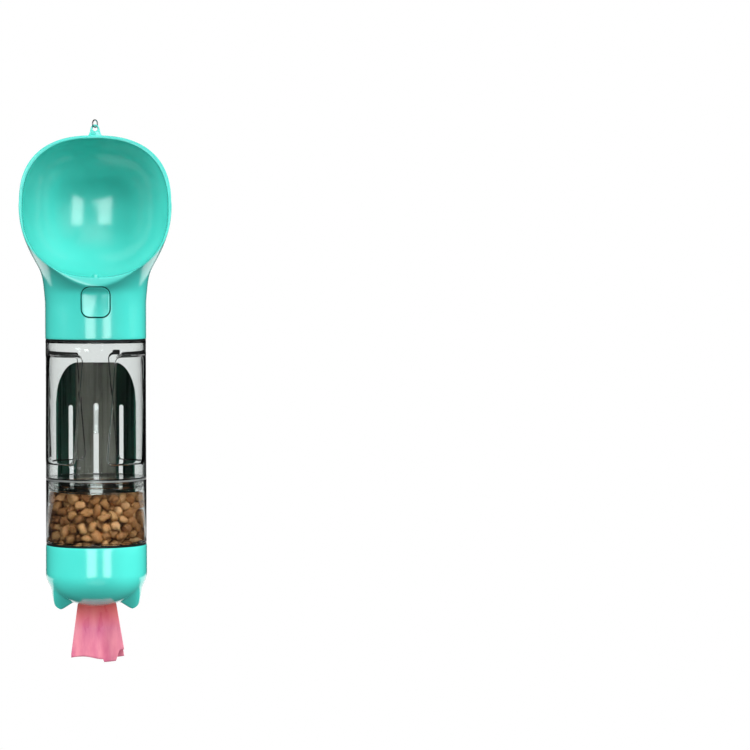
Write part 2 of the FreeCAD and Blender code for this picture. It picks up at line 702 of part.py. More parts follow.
# Clear bottle. Each grip recess wraps nearly half round and leans; the wall bulges inwards
# behind it by the same amount. A T-shaped rail on the back carries the shovel.
floor_high = S.floor_low + S.bottle_wall
spigot_inner = S.spigot_radius - S.spigot_wall
bottle_solid = revolved("bottle_solid", [
    (0, S.floor_low), (spigot_inner, S.floor_low), (spigot_inner, S.spigot_low),
    (S.spigot_radius, S.spigot_low), (S.spigot_radius, S.bottle_low), (S.bottle_radius, S.bottle_low),
    (S.bottle_radius, bottle_top), (S.mouth_radius, bottle_top), (S.mouth_radius, S.mouth_top),
    (0, S.mouth_top)])
bottle_hollow = revolved("bottle_hollow", [
    (0, floor_high), (S.bottle_radius - S.bottle_wall, floor_high),
    (S.bottle_radius - S.bottle_wall, bottle_top - S.bottle_wall), (mouth_inner, bottle_top - S.bottle_wall),
    (mouth_inner, S.mouth_top + 1), (0, S.mouth_top + 1)])


def grip_sector(start, span, inner, outer, z):
    """Outline of a grip's cross-section between two angles counted from the front to -X."""
    def at(radius, angle):
        turn = math.radians(angle)
        return Vector(-radius * math.sin(turn), -radius * math.cos(turn), z)
    end = start + span
    middle = start + span / 2
    return Part.Wire([
        Part.Arc(at(outer, start), at(outer, middle), at(outer, end)).toShape(),
        Part.LineSegment(at(outer, end), at(inner, end)).toShape(),
        Part.Arc(at(inner, end), at(inner, middle), at(inner, start)).toShape(),
        Part.LineSegment(at(inner, start), at(outer, start)).toShape()])


def grip_pair(inner, margin):
    """Both leaning recesses as solids, grown by a margin, the second turned half round."""
    low = S.grip_low.value - margin
    high = S.grip_top.value + margin
    spread = math.degrees(margin / S.bottle_radius.value)
    steps = 5
    sections = []
    for step in range(steps):
        z = low + (high - low) * step / (steps - 1)
        lean = S.grip_twist.value * (S.grip_top.value - z) / (S.grip_top.value - S.grip_low.value)
        sections.append(grip_sector(S.grip_start.value + lean - spread, S.grip_span.value + 2 * spread,
                                    inner, S.bottle_radius.value + 2.0, z))
    one = loft(sections)
    other = one.copy()
    other.rotate(Vector(0, 0, 0), Vector(0, 0, 1), 180)
    return Part.makeCompound([one, other])


grip_floor = S.bottle_radius - S.grip_depth
grips = shaped("grip_recesses", grip_pair(grip_floor.value, 0.0))
bulges = shaped("grip_bulges", grip_pair((grip_floor - S.bottle_wall).value, S.grip_margin.value))
water_space = cut("water_space", bottle_hollow, bulges)
rail_top = S.slot_top - S.rail_drop
rail_low = rail_top - S.rail_length
rail_out = S.shovel_y + S.shovel_thick + S.rail_play
rail = fused("shovel_rail",
             block("rail_neck_block", (-S.rail_neck, S.rail_neck),
                   (S.bottle_radius - 0.5, rail_out + 0.1), (rail_low, rail_top)),
             block("rail_head_block", (-S.rail_head, S.rail_head), (rail_out, rail_out + S.rail_head_thick),
                   (rail_low, rail_top)))
bottle = fused("bottle_with_rail", cut("bottle_wall_solid", bottle_solid, water_space, grips), rail)
finish(bottle, "water_bottle")

# Shovel: one sheet folded into three panels, cut to a tombstone shape with three slots.
half_run, half_rise, mitre = 0.68, 0.73, 0.39  # outer corners of the bends, in sheet thicknesses
wing_y = S.shovel_y - S.wing_drop
shovel_front = wing_y - S.shovel_thick
folded = padded("shovel_sheet", "XY_Plane", [
    (-S.shovel_half, wing_y), (-S.fold_x, S.shovel_y), (S.fold_x, S.shovel_y), (S.shovel_half, wing_y),
    (S.shovel_half + half_run * S.shovel_thick, wing_y + half_rise * S.shovel_thick),
    (S.fold_x + mitre * S.shovel_thick, S.shovel_y + S.shovel_thick),
    (-S.fold_x - mitre * S.shovel_thick, S.shovel_y + S.shovel_thick),
    (-S.shovel_half - half_run * S.shovel_thick, wing_y + half_rise * S.shovel_thick),
], S.shovel_low, S.shovel_top - S.shovel_low)
shoulder = S.blade_low - S.handle_taper
outline_depth = S.shovel_y + 5 * S.shovel_thick
blade_half = S.shovel_half + half_run * S.shovel_thick
outline = padded("shovel_outline", "XZ_Plane", [
    (-blade_half, S.shovel_top), (-blade_half, S.blade_low), (-S.handle_half, shoulder),
    (-S.handle_half, S.shovel_low), (S.handle_half, S.shovel_low), (S.handle_half, shoulder),
    (blade_half, S.blade_low), (blade_half, S.shovel_top)], -outline_depth, outline_depth)


def at_top(edge):
    return runs_along(Vector(0, 1, 0))(edge) and edge.BoundBox.ZMin > S.shovel_top.value - 0.1


def at_handle(edge):
    return runs_along(Vector(0, 1, 0))(edge) and edge.BoundBox.ZMax < S.shovel_low.value + 0.1


rounded(outline, "shovel_top_corners", S.shovel_corner, at_top)
rounded(outline, "shovel_handle_corners", S.handle_half / 2, at_handle)


def slot(name, x, half, low, high):
    """A slot right through the sheet with a round top and bottom."""
    depth = (shovel_front, outline_depth)
    middle = block(name + "_middle", (x - half, x + half), depth, (low + half, high - half))
    ends = [rod(name + end, half, depth[1] - depth[0], x=x, y=depth[0], z=z, along=Vector(0, 1, 0))
            for end, z in (("_top", high - half), ("_low", low + half))]
    return fused(name, middle, *ends)


side_slot_top = S.slot_top - S.side_slot_drop
slots = [slot("slot_middle", 0, S.slot_half, S.slot_low, S.slot_top),
         slot("slot_left", -S.side_slot_x, S.side_slot_half, S.side_slot_low, side_slot_top),
         slot("slot_right", S.side_slot_x, S.side_slot_half, S.side_slot_low, side_slot_top),
         block("key_opening", (-S.key_half, S.key_half), (shovel_front, outline_depth), (S.key_low, S.key_top))]
finish(cut("shovel", common("shovel_blank", folded, outline), *slots), "shovel")

# Food cup with the kibble, and the seal above it.
cup_inner_low = S.cup_low + S.cup_wall
base_inner = S.base_radius - S.cup_wall
base_inner_low = S.base_low + S.cup_wall
washer("cup_gasket", cup_bore + 2 * S.seat_gap, seal_outer, cup_top + S.seat_gap, S.cup_gasket)
finish(revolved("food_cup", [
    (cup_bore, cup_top), (S.bottle_radius, cup_top), (S.bottle_radius, S.cup_low), (S.base_radius, S.cup_low),
    (S.base_radius, S.base_low), (0, S.base_low), (0, base_inner_low), (base_inner, base_inner_low),
    (base_inner, cup_inner_low), (cup_bore, cup_inner_low)]), "food_cup")
heap_radius = spigot_inner - S.heap_gap
finish(revolved("kibble_fill", [
    (0, base_inner_low + S.seat_gap), (base_inner - S.seat_gap, base_inner_low + S.seat_gap),
    (base_inner - S.seat_gap, cup_inner_low + S.seat_gap), (cup_bore - S.seat_gap, cup_inner_low + S.seat_gap),
    (cup_bore - S.seat_gap, S.kibble_top), (heap_radius, S.kibble_top),
    (heap_radius - S.heap_edge, S.kibble_top + S.heap_rise), (0, S.kibble_top + S.heap_rise)]), "kibble_fill")

# Bag box: a short cylinder closed by half an ellipsoid, with two cat ears to stand on.
washer("base_seal_ring", box_bore + 2 * S.seat_gap, seal_outer, box_top + S.seat_gap, S.base_seal)


def ellipsoid(name, wide, deep, tall, x, z, highest=90):
    body = doc.addObject("Part::Ellipsoid", name)
    bind(body, "Radius1", tall)
    bind(body, "Radius2", wide)
    bind(body, "Radius3", deep)
    body.Angle1 = -90
    body.Angle2 = highest
    return place(body, x, 0, z)


box_outside = fused(
    "box_outside",
    rod("box_band", S.box_radius, box_top - S.box_band_low, z=S.box_band_low),
    ellipsoid("box_dome_outer", S.box_radius, S.box_radius, S.box_dome, 0, S.box_band_low, 0),
    ellipsoid("cat_ear_left", S.cat_half_width, S.cat_half_depth, S.cat_half_tall, -S.cat_x, S.cat_height),
    ellipsoid("cat_ear_right", S.cat_half_width, S.cat_half_depth, S.cat_half_tall, S.cat_x, S.cat_height))
box_inside = fused(
    "box_inside",
    rod("box_bore_rod", box_bore, box_top - S.box_band_low + 1, z=S.box_band_low),
    ellipsoid("box_dome_inner", box_bore, box_bore, S.box_dome - S.box_floor, 0, S.box_band_low, 0))
slot_depth = 0.6 * S.box_dome
below_dome = S.box_band_low - 1.2 * S.box_dome
box_slot = rounded(padded("bag_slot", "XY_Plane", [
    (-S.outlet_half, -S.outlet_depth), (S.outlet_half, -S.outlet_depth), (S.outlet_half, S.outlet_depth),
    (-S.outlet_half, S.outlet_depth)], below_dome, slot_depth), "slot_ends",
    S.outlet_depth - 0.1, runs_along(Vector(0, 0, 1)))
finish(cut("bag_box", box_outside, box_inside, box_slot), "bag_box")

# Wound roll of waste bags on its cardboard tube, and the film that hangs out of the slot.
long_way = Vector(1, 0, 0)
roll = cut("bag_roll", rod("roll_solid", S.roll_radius, 2 * S.roll_half, x=-S.roll_half, along=long_way),
           rod("roll_hole", S.core_radius + S.seat_gap, 2.2 * S.roll_half, x=-1.1 * S.roll_half, along=long_way))
finish(roll, "bag_roll", z=S.roll_height)
core = cut("roll_core", rod("core_solid", S.core_radius, 2 * S.roll_half, x=-S.roll_half, along=long_way),
           rod("core_hole", S.core_radius - S.core_wall, 2.2 * S.roll_half, x=-1.1 * S.roll_half, along=long_way))
finish(core, "roll_core", z=S.roll_height)


def folds(half, fold, thick):
    """Zigzag outline of the folded film, front side out and back side home."""
    line = [(-1.0, 0.2), (-0.55, 1.0), (-0.1, -0.8), (0.35, 0.9), (0.7, -0.3), (1.0, 0.3)]
    front = [(share * half, turn * fold - thick / 2) for share, turn in line]
    back = [(share * half, turn * fold + thick / 2) for share, turn in reversed(line)]
    return front + back


tail_top = S.roll_height - S.roll_radius - 2 * S.seat_gap
tail = doc.addObject("PartDesign::Body", "bag_tail")
upper = sketch_on(tail, "tail_in_slot", "XY_Plane", folds(S.tail_top_half, S.tail_fold, S.tail_thick), tail_top)
lower = sketch_on(tail, "tail_end_outline", "XY_Plane",
                  folds(S.tail_end_half, S.tail_fold_end, S.tail_thick), S.tail_end)
film = tail.newObject("PartDesign::AdditiveLoft", "tail_film")
film.Profile = upper
film.Sections = [lower]
film.Ruled = True
upper.Visibility = False
lower.Visibility = False
finish(tail, "bag_tail")

doc.recompute()

faults = [item.Name for item in doc.Objects if "Invalid" in item.State or "Error" in item.State]
faults += [item.Label for item in finished
           if item.Shape.isNull() or not item.Shape.isValid() or not item.Shape.Solids]
if faults:
    raise RuntimeError("not built: " + ", ".join(faults))

os.makedirs("parts", exist_ok=True)
for item in finished:
    item.Shape.exportStep("parts/%s.step" % item.Label)
    print("%-16s solids %d  volume %9.1f  z %8.2f to %8.2f" % (
        item.Label, len(item.Shape.Solids), item.Shape.Volume,
        item.Shape.BoundBox.ZMin, item.Shape.BoundBox.ZMax))
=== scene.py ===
# %% Load the frame
import json
import random
from math import asin, atan, atan2, cos, hypot, pi, radians, sin, sqrt

import bmesh
import bpy
from mathutils import Matrix, Vector


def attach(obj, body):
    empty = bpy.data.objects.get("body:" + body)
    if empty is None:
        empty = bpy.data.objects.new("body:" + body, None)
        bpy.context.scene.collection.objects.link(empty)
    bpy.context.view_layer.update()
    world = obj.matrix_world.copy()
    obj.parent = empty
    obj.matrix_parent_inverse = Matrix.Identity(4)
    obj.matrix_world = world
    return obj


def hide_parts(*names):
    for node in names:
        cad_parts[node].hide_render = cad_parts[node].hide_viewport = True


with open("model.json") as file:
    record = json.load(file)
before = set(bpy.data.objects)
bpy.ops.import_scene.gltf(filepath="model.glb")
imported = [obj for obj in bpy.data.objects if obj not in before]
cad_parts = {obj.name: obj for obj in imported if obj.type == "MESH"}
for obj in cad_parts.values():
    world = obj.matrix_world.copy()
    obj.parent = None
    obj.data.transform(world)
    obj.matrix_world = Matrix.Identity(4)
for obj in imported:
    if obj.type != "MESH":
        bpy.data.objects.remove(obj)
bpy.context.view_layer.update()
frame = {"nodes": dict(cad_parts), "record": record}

# %% [markdown]
# The bottle hangs from a ring, and the frame's origin is the inside top of that ring. For
# modelling it is easier to count heights in millimetres from the seam between the drinking
# head and the bottle, with the bottle's axis in the middle. `at` turns such a point into the
# frame's metres, so every piece below can be drawn the way a workshop drawing gives it.

# %% Points in millimetres from the seam
SEAM_DROP = 135.65
AXIS_BACK = 16.7


def at(x, y, height):
    return Vector((x, y + AXIS_BACK, height - SEAM_DROP)) / 1000


def around(radius, angle, height):
    """Point on a circle round the bottle; the angle counts from the front towards -X."""
    turn = radians(angle)
    return at(-radius * sin(turn), -radius * cos(turn), height)


def ease(t):
    """A share that starts and ends gently on its way from 0 to 1."""
    t = min(max(t, 0.0), 1.0)
    return t * t * (3 - 2 * t)


print("seam at", tuple(round(c, 4) for c in at(0, 0, 0)))

# %% [markdown]
# Nearly every moulded piece here can be thought of as a stack of closed rings. `stacked`
# starts from a circle, extrudes its edges once for each further ring, and moves the new
# corners to where that ring's points are. Extruding keeps the faces in neat rows, so smooth
# shading works, and the same few lines make the spoon-shaped head and the ribbed bottle.

# %% A skin made from a stack of rings
def step_out(bm, ring, points):
    """Extrude the edges of a closed ring of corners and put the new corners on the points."""
    edges = []
    for i, corner in enumerate(ring):
        edges.append(bm.edges.get((corner, ring[(i + 1) % len(ring)])))
    made = bmesh.ops.extrude_edge_only(bm, edges=edges)["geom"]
    fresh = {item for item in made if isinstance(item, bmesh.types.BMVert)}
    grown = []
    for corner, point in zip(ring, points):
        twin = [e.other_vert(corner) for e in corner.link_edges if e.other_vert(corner) in fresh][0]
        twin.co = point
        grown.append(twin)
    return grown


def stacked(bm, rings, close_first=False, close_last=False):
    """Skin a list of rings, each a list of points; a fan of faces may close either end."""
    count = len(rings[0])
    first = bmesh.ops.create_circle(bm, cap_ends=False, radius=1.0, segments=count)["verts"]
    for corner, point in zip(first, rings[0]):
        corner.co = point
    ring = first
    for points in rings[1:]:
        ring = step_out(bm, ring, points)
    for end in ([first] if close_first else []) + ([ring] if close_last else []):
        centre = sum((corner.co for corner in end), Vector()) / count
        fan = step_out(bm, end, [corner.co.copy() for corner in end])
        bmesh.ops.pointmerge(bm, verts=fan, merge_co=centre)


# %% [markdown]
# A turned piece, such as the food cup, is a profile of radius and height spun about the
# axis. Moulded plastic has no sharp corners, and on clear plastic the rounded edges carry
# most of the look, so `softened` rounds each corner of a profile before it is spun. Each
# corner lists how much it is rounded.

# %% Turned pieces with rounded corners
CORNER_STEPS = 4


def curve(start, knee, end):
    """Points of a short rounded corner from start to end, without the start."""
    shares = [step / CORNER_STEPS for step in range(1, CORNER_STEPS + 1)]
    return [start * (1 - t) ** 2 + knee * (2 * t * (1 - t)) + end * t ** 2 for t in shares]


def softened(profile):
    """Round the corners of (radius, height, rounding) points with short curves."""
    out = []
    for i, (r, h, rounding) in enumerate(profile):
        here = Vector((r, h))
        if i in (0, len(profile) - 1) or rounding <= 0:
            out.append((r, h))
            continue
        before = Vector(profile[i - 1][:2]) - here
        after = Vector(profile[i + 1][:2]) - here
        reach = min(rounding, before.length * 0.45, after.length * 0.45)
        start, end = here + before.normalized() * reach, here + after.normalized() * reach
        out += [tuple(point) for point in [start] + curve(start, here, end)]
    return out


def in_scene(name, data):
    thing = bpy.data.objects.new(name, data)
    bpy.context.scene.collection.objects.link(thing)
    return thing


def finished_mesh(bm, name, finish=None, sharp=38.0):
    """Close the bmesh into an object with its finish, smooth but for edges above an angle."""
    bmesh.ops.remove_doubles(bm, verts=bm.verts, dist=1e-7)
    bmesh.ops.recalc_face_normals(bm, faces=bm.faces)
    mesh = bpy.data.meshes.new(name)
    bm.to_mesh(mesh)
    bm.free()
    mesh.shade_smooth()
    mesh.set_sharp_from_angle(angle=radians(sharp))
    if finish:
        mesh.materials.append(finish)
    return in_scene(name, mesh)


def moulded(name, rings, finish=None, sharp=38.0, close_first=True):
    """A piece made from a stack of rings that is closed at its last end, or at both."""
    bm = bmesh.new()
    stacked(bm, rings, close_first, close_last=True)
    return finished_mesh(bm, name, finish, sharp)


def turned(name, profile, finish, sides):
    """Spin a rounded profile once round the bottle's axis."""
    bm = bmesh.new()
    corners = [bm.verts.new(at(r, 0, h)) for r, h in softened(profile)]
    edges = [bm.edges.new(pair) for pair in zip(corners, corners[1:])]
    bmesh.ops.spin(bm, geom=corners + edges, cent=at(0, 0, 0), axis=(0, 0, 1),
                   angle=2 * pi, steps=sides, use_merge=True)
    bmesh.ops.dissolve_degenerate(bm, dist=1e-7, edges=bm.edges)
    return finished_mesh(bm, name, finish)


# %% [markdown]
# Plastic, rubber and film each get a material built from nodes. They share a small pattern
# kit: the piece's own Object coordinates drive a noise, the noise shifts the colour a
# little, roughens the gloss and lifts a very fine bump. Object coordinates stay with the
# piece when it moves, and nothing here needs an image.

# %% A kit for materials
def linear(hex_colour):
    """An sRGB colour such as 5ce8da as the linear values a shader wants."""
    shares = [int(hex_colour[i:i + 2], 16) / 255 for i in (0, 2, 4)]
    return [s / 12.92 if s <= 0.04045 else ((s + 0.055) / 1.055) ** 2.4 for s in shares] + [1.0]


class Recipe:
    """A material with its Principled shader and a few helpers to wire patterns into it."""

    def __init__(self, name, **sockets):
        self.material = bpy.data.materials.new(name)
        self.material.use_nodes = True
        self.nodes = self.material.node_tree.nodes
        self.links = self.material.node_tree.links
        self.shader = self.nodes["Principled BSDF"]
        for socket, value in sockets.items():
            self.shader.inputs[socket.replace("_", " ")].default_value = value
        self.place = self.nodes.new("ShaderNodeTexCoord").outputs["Object"]

    def node(self, kind, inputs=None, **settings):
        made = self.nodes.new("ShaderNode" + kind)
        for key, value in settings.items():
            setattr(made, key, value)
        for key, value in (inputs or {}).items():
            if isinstance(value, bpy.types.NodeSocket):
                self.links.new(value, made.inputs[key])
            else:
                made.inputs[key].default_value = value
        return made

    def stretched(self, share):
        """The piece's coordinates with heights shortened, which draws a pattern out upwards."""
        inputs = {"Vector": self.place, "Scale": (1.0, 1.0, share)}
        return self.node("Mapping", inputs).outputs["Vector"]

    def noise(self, scale, detail=3.0, place=None):
        inputs = {"Vector": place or self.place, "Scale": scale, "Detail": detail}
        return self.node("TexNoise", inputs).outputs["Fac"]

    def between(self, factor, low, high):
        """Rescale a pattern from 0..1 to low..high."""
        inputs = {"Value": factor, "To Min": low, "To Max": high}
        return self.node("MapRange", inputs).outputs["Result"]

    def colours(self, factor, stops):
        """A colour ramp over a pattern, with (place, colour) stops."""
        ramp = self.node("ValToRGB", {"Fac": factor})
        elements = ramp.color_ramp.elements
        while len(elements) < len(stops):
            elements.new(0.5)
        for element, (where, colour) in zip(elements, stops):
            element.position = where
            element.color = linear(colour)
        return ramp.outputs["Color"]

    def use(self, socket, output):
        self.links.new(output, self.shader.inputs[socket])
        return self

    def bump(self, height, strength, distance):
        made = self.node("Bump", {"Height": height, "Strength": strength, "Distance": distance})
        return self.use("Normal", made.outputs["Normal"])


def even_finish(name, grain, lift, tones=None, gloss=None, **sockets):
    """A material whose colour, roughness and bump all follow one noise."""
    recipe = Recipe(name, **sockets)
    pattern = recipe.noise(*grain)
    if tones:
        recipe.use("Base Color", recipe.colours(pattern, tones))
    if gloss:
        recipe.use("Roughness", recipe.between(pattern, *gloss))
    return recipe.bump(pattern, *lift).material


# %% [markdown]
# The head, the button and the bag box are one batch of mint plastic, moulded glossy. Under
# a lens such plastic has a faint orange-peel bump and a cloudy shift of colour where it
# flowed, and handling leaves the gloss a little uneven. All of that is kept small. Down in
# the button's well the mould left the same plastic rough, and its colour is a darker mint:
# painted shade, since little light gets down there.

# %% Mint plastic
def mint_plastic():
    recipe = Recipe("mint_plastic", Roughness=0.2, IOR=1.55, Coat_Weight=1.0,
                    Coat_Roughness=0.16, Coat_IOR=1.75)
    clouds = recipe.noise(22.0, 2.0)
    recipe.use("Base Color", recipe.colours(clouds, [(0.3, "47d1c4"), (0.7, "53dbce")]))
    recipe.use("Roughness", recipe.between(recipe.noise(160.0, 4.0), 0.14, 0.24))
    return recipe.bump(recipe.noise(900.0, 1.0), 0.05, 0.0004).material


mint = mint_plastic()
# A matt mint for the button's well, painted darker as shade.
painted_shade_mint = even_finish("painted_shade_mint_plastic", (300.0, 3.0), (0.1, 0.0003),
                        [(0.3, "1d6a62"), (0.7, "24766d")], (0.75, 0.95),
                        IOR=1.5, Specular_IOR_Level=0.1)
print("materials so far:", len(bpy.data.materials))

# %% [markdown]
# The head grows from a round neck into a wide spoon. Its outline at any height is an
# ellipse whose width, depth and middle follow smooth rules, and a plane that leans back
# slices the front away to make the rim. These are the rules of the part's CAD source, but
# for a small flare that widens the neck a millimetre lower than there.

# %% The rules of the head's shape
NECK, WALL = 31.6, 2.0
LIP_HEIGHT, LIP_REACH, RIM_LEAN = 38.5, 33.0, 0.16
WIDEST, HALF_WIDTH, ABOVE, BELOW, HOOD_DEPTH = 84.0, 46.9, 42.5, 56.0, 46.0
BOWL_WIDE, BOWL_TALL, BOWL_DEEP = 45.2, 43.6, 44.0
UPPER, LOWER = 2.45, 2.3
DEEPENS_FROM, LEANS_FROM, LEANS_OVER = 25, 28, 50
FLARE, FLARE_FROM, FLARE_TO = 0.9, 21, 35


def rim_y(z):
    return -LIP_REACH + RIM_LEAN * (z - LIP_HEIGHT)


def hood_share(z):
    rise = z - WIDEST
    if rise >= 0:
        return (1 - min(rise / ABOVE, 1.0) ** UPPER) ** (1 / UPPER)
    return sqrt(1 - min(-rise / BELOW, 1.0) ** 2)


def head_outline(z):
    """Half width, half depth and middle of the head's outline at a height."""
    wide = HALF_WIDTH * hood_share(z)
    if z < WIDEST:
        wide = (wide ** 8 + NECK ** 8) ** 0.125
        opened = ease((z - DEEPENS_FROM) / (WIDEST - DEEPENS_FROM))
        back = NECK + (rim_y(WIDEST) + HOOD_DEPTH - NECK) * opened
    else:
        back = rim_y(z) + HOOD_DEPTH * hood_share(z)
    middle = rim_y(z) * ease((z - LEANS_FROM) / LEANS_OVER)
    flare = FLARE * ease((z - FLARE_FROM) / 14) * (1 - ease((z - FLARE_TO) / 10))
    return wide + flare, back - middle + flare / 2, middle - flare / 2


LEAN = hypot(1, RIM_LEAN)
UP_RIM = Vector((0, RIM_LEAN / LEAN, 1 / LEAN))
INWARD = Vector((0, 1 / LEAN, -RIM_LEAN / LEAN))
BOWL_CENTRE = Vector((0, -LIP_REACH, LIP_HEIGHT)) + UP_RIM * BOWL_TALL


def in_head(point):
    if not 0 <= point.z < WIDEST + ABOVE:
        return False
    wide, deep, middle = head_outline(point.z)
    return wide > 0 and (point.x / wide) ** 2 + ((point.y - middle) / deep) ** 2 < 1


def last_inside(near, far, inside, halvings):
    """The farthest reach that is still inside, found by halving."""
    for _ in range(halvings):
        half = (near + far) / 2
        near, far = (half, far) if inside(half) else (near, half)
    return near


def head_edge(behind, turn):
    """Where a ray in a plane behind the rim leaves the head."""
    start = BOWL_CENTRE + INWARD * behind
    way = Vector((cos(turn), 0, 0)) + UP_RIM * sin(turn)
    return start + way * last_inside(10.0, 90.0, lambda reach: in_head(start + way * reach), 30)


def bowl_edge(turn, depth_angle=0.0):
    """Point of the bowl at a turn about its middle; the angle goes from rim to bottom."""
    power = UPPER if sin(turn) > 0 else LOWER
    wide, tall = abs(cos(turn) / BOWL_WIDE) ** power, abs(sin(turn) / BOWL_TALL) ** power
    reach = (wide + tall) ** (-1 / power)
    share = cos(depth_angle)
    middle = BOWL_CENTRE + INWARD * (BOWL_DEEP * sin(depth_angle))
    return middle + (Vector((cos(turn), 0, 0)) + UP_RIM * sin(turn)) * (reach * share)


print("lip", tuple(round(c, 1) for c in bowl_edge(-pi / 2)), "crown at", WIDEST + ABOVE)

# %% [markdown]
# The outside is a stack of those ellipses, started inside the neck so that the foot of the
# neck has a real rounded edge. `bisect_plane` slices it just behind the rim. From the cut
# edge the skin goes on outwards ring by ring: round the soft crease, over the flat land of
# the rim, round the bowl's edge and down to the bottom of the bowl. Taking the angles from
# the cut edge's own corners lets every ring line up with it.

# %% Head: neck and hood, sliced at the rim
SLICE = 1.0
HEAD_SIDES = 168


def ellipse_ring(z, wide, deep, middle):
    turns = [2 * pi * i / HEAD_SIDES for i in range(HEAD_SIDES)]
    return [at(wide * sin(t), middle - deep * cos(t), z) for t in turns]


def hood_rings():
    inner = NECK - WALL
    inside_and_foot = ((inner, 36.0), (inner, 20.0), (inner, 0.5), (inner + 0.5, 0.0),
                       (NECK - 0.4, 0.0), (NECK - 0.1, 0.12))
    rings = [ellipse_ring(z, r, r, 0) for r, z in inside_and_foot]
    heights = [0.4 + 1.45 * i for i in range(58)]
    heights += [WIDEST + ABOVE * sin(radians(a)) ** 1.2 for a in range(4, 90, 3)]
    below_crown = [z for z in sorted(heights) if z < WIDEST + ABOVE - 0.02]
    return rings + [ellipse_ring(z, *head_outline(z)) for z in below_crown]


bm = bmesh.new()
stacked(bm, hood_rings(), close_first=True, close_last=True)
cut_at = BOWL_CENTRE + INWARD * SLICE
bmesh.ops.bisect_plane(bm, geom=bm.verts[:] + bm.edges[:] + bm.faces[:], plane_co=at(*cut_at),
                       plane_no=INWARD, clear_inner=True)
rim_corners = [v for v in bm.verts if v.is_boundary]
bmesh.ops.remove_doubles(bm, verts=rim_corners, dist=0.00045)
print("hood sliced,", len(bm.verts), "corners")

# %% Head: crease, rim land and bowl
LIP_SOFT, LIP_SOFTER, EDGE_SOFT, EDGE_DROP = 0.7, 1.2, 0.55, 0.6
BOWL_ANGLES = (3, 5.5, 9, 13, 18, 24, 30, 37, 44, 51, 58, 65, 71, 77, 82, 86, 88.5)


def turn_of(corner):
    """The angle of a corner about the bowl's middle."""
    x, y, z = (c * 1000 for c in corner.co)
    offset = Vector((x, y - AXIS_BACK, z + SEAM_DROP)) - BOWL_CENTRE
    return atan2(offset.dot(UP_RIM), offset.x)


def rim_profile(turn):
    """From the slice, over the rim, to the bottom of the bowl."""
    outer, edge = head_edge(0.0, turn), bowl_edge(turn)
    land = edge - outer
    low = max(0.0, -sin(turn)) ** 2
    crest = outer + land.normalized() * min(LIP_SOFT + LIP_SOFTER * low, land.length * 0.45)
    before_edge = edge - land.normalized() * min(EDGE_SOFT, land.length * 0.3)
    points = curve(head_edge(SLICE * 0.98, turn), outer, crest)
    points += [crest.lerp(before_edge, 0.5), before_edge]
    points += curve(before_edge, edge, bowl_edge(turn, asin(EDGE_DROP / BOWL_DEEP)))
    return points + [bowl_edge(turn, radians(angle)) for angle in BOWL_ANGLES]


def ordered_loop(bm):
    """The corners of the open edge in order."""
    links = {}
    for edge in bm.edges:
        if edge.is_boundary:
            a, b = edge.verts
            links.setdefault(a, []).append(b)
            links.setdefault(b, []).append(a)
    start = next(iter(links))
    loop, last, here = [start], None, start
    while True:
        following = [v for v in links[here] if v is not last]
        last, here = here, following[0]
        if here is start:
            return loop
        loop.append(here)


loop = ordered_loop(bm)
profiles = [rim_profile(turn_of(corner)) for corner in loop]
ring = loop
for row in range(len(profiles[0])):
    ring = step_out(bm, ring, [at(*profile[row]) for profile in profiles])
bmesh.ops.pointmerge(bm, verts=ring, merge_co=at(*(BOWL_CENTRE + INWARD * BOWL_DEEP)))
head = finished_mesh(bm, "drinking_head", mint, sharp=60)
print("head:", len(loop), "corners round the rim,", len(head.data.polygons), "faces")

# %% [markdown]
# The push button sits in a well in the front of the neck. A boolean is the right tool for
# a hole through a curved skin: a rounded-square plug is subtracted from the head, and the
# head keeps its smooth shading because its faces are small. The well's own walls and floor
# are a cup of the same outline set into the hole.

# %% Button well
BUTTON_MIDDLE, BUTTON_HALF_X, BUTTON_HALF_Z, BUTTON_CORNER = 23.25, 9.25, 9.75, 5.6
WELL_FLOOR, WELL_GAP, INSIDE_NECK = -26.4, 0.05, -29.0
ARC_STEPS = 18


def rounded_square(grow):
    """Offsets (x, z) round the button's outline, grown by a gap."""
    half_x, half_z = BUTTON_HALF_X + grow, BUTTON_HALF_Z + grow
    corner = BUTTON_CORNER + grow
    points = []
    for quarter, (sx, sz) in enumerate(((1, 1), (-1, 1), (-1, -1), (1, -1))):
        for step in range(ARC_STEPS + 1):
            turn = radians(90 * (quarter + step / ARC_STEPS))
            points.append((sx * (half_x - corner) + corner * cos(turn),
                           sz * (half_z - corner) + corner * sin(turn)))
    return points


def button_ring(grow, y):
    """A ring of the outline at one depth, or at the depth that a function of x and z gives."""
    outline = rounded_square(grow)
    return [at(x, y(x, z) if callable(y) else y, BUTTON_MIDDLE + z) for x, z in outline]


def cut_out(piece, cutter, sharp):
    """Subtract a cutter, work the result into the piece's mesh and mark its sharp edges."""
    tool = piece.modifiers.new("hole", "BOOLEAN")
    tool.operation, tool.solver, tool.object = "DIFFERENCE", "EXACT", cutter
    bpy.context.view_layer.update()
    graph = bpy.context.evaluated_depsgraph_get()
    mesh = bpy.data.meshes.new_from_object(piece.evaluated_get(graph))
    piece.modifiers.clear()
    piece.data = mesh
    bpy.data.objects.remove(cutter)
    mesh.set_sharp_from_angle(angle=radians(sharp))


plug = [button_ring(WELL_GAP, -45), button_ring(WELL_GAP, WELL_FLOOR)]
cut_out(head, moulded("well_cutter", plug), sharp=48)
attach(head, "head")
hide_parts("head_shell")


def neck_front(proud):
    """Depth of a skin that stands proud of the neck's front, as a function of x and z."""
    def depth(x, z):
        wide, deep, middle = head_outline(BUTTON_MIDDLE + z)
        return middle - (deep + proud) * sqrt(1 - (x / (wide + proud)) ** 2)
    return depth


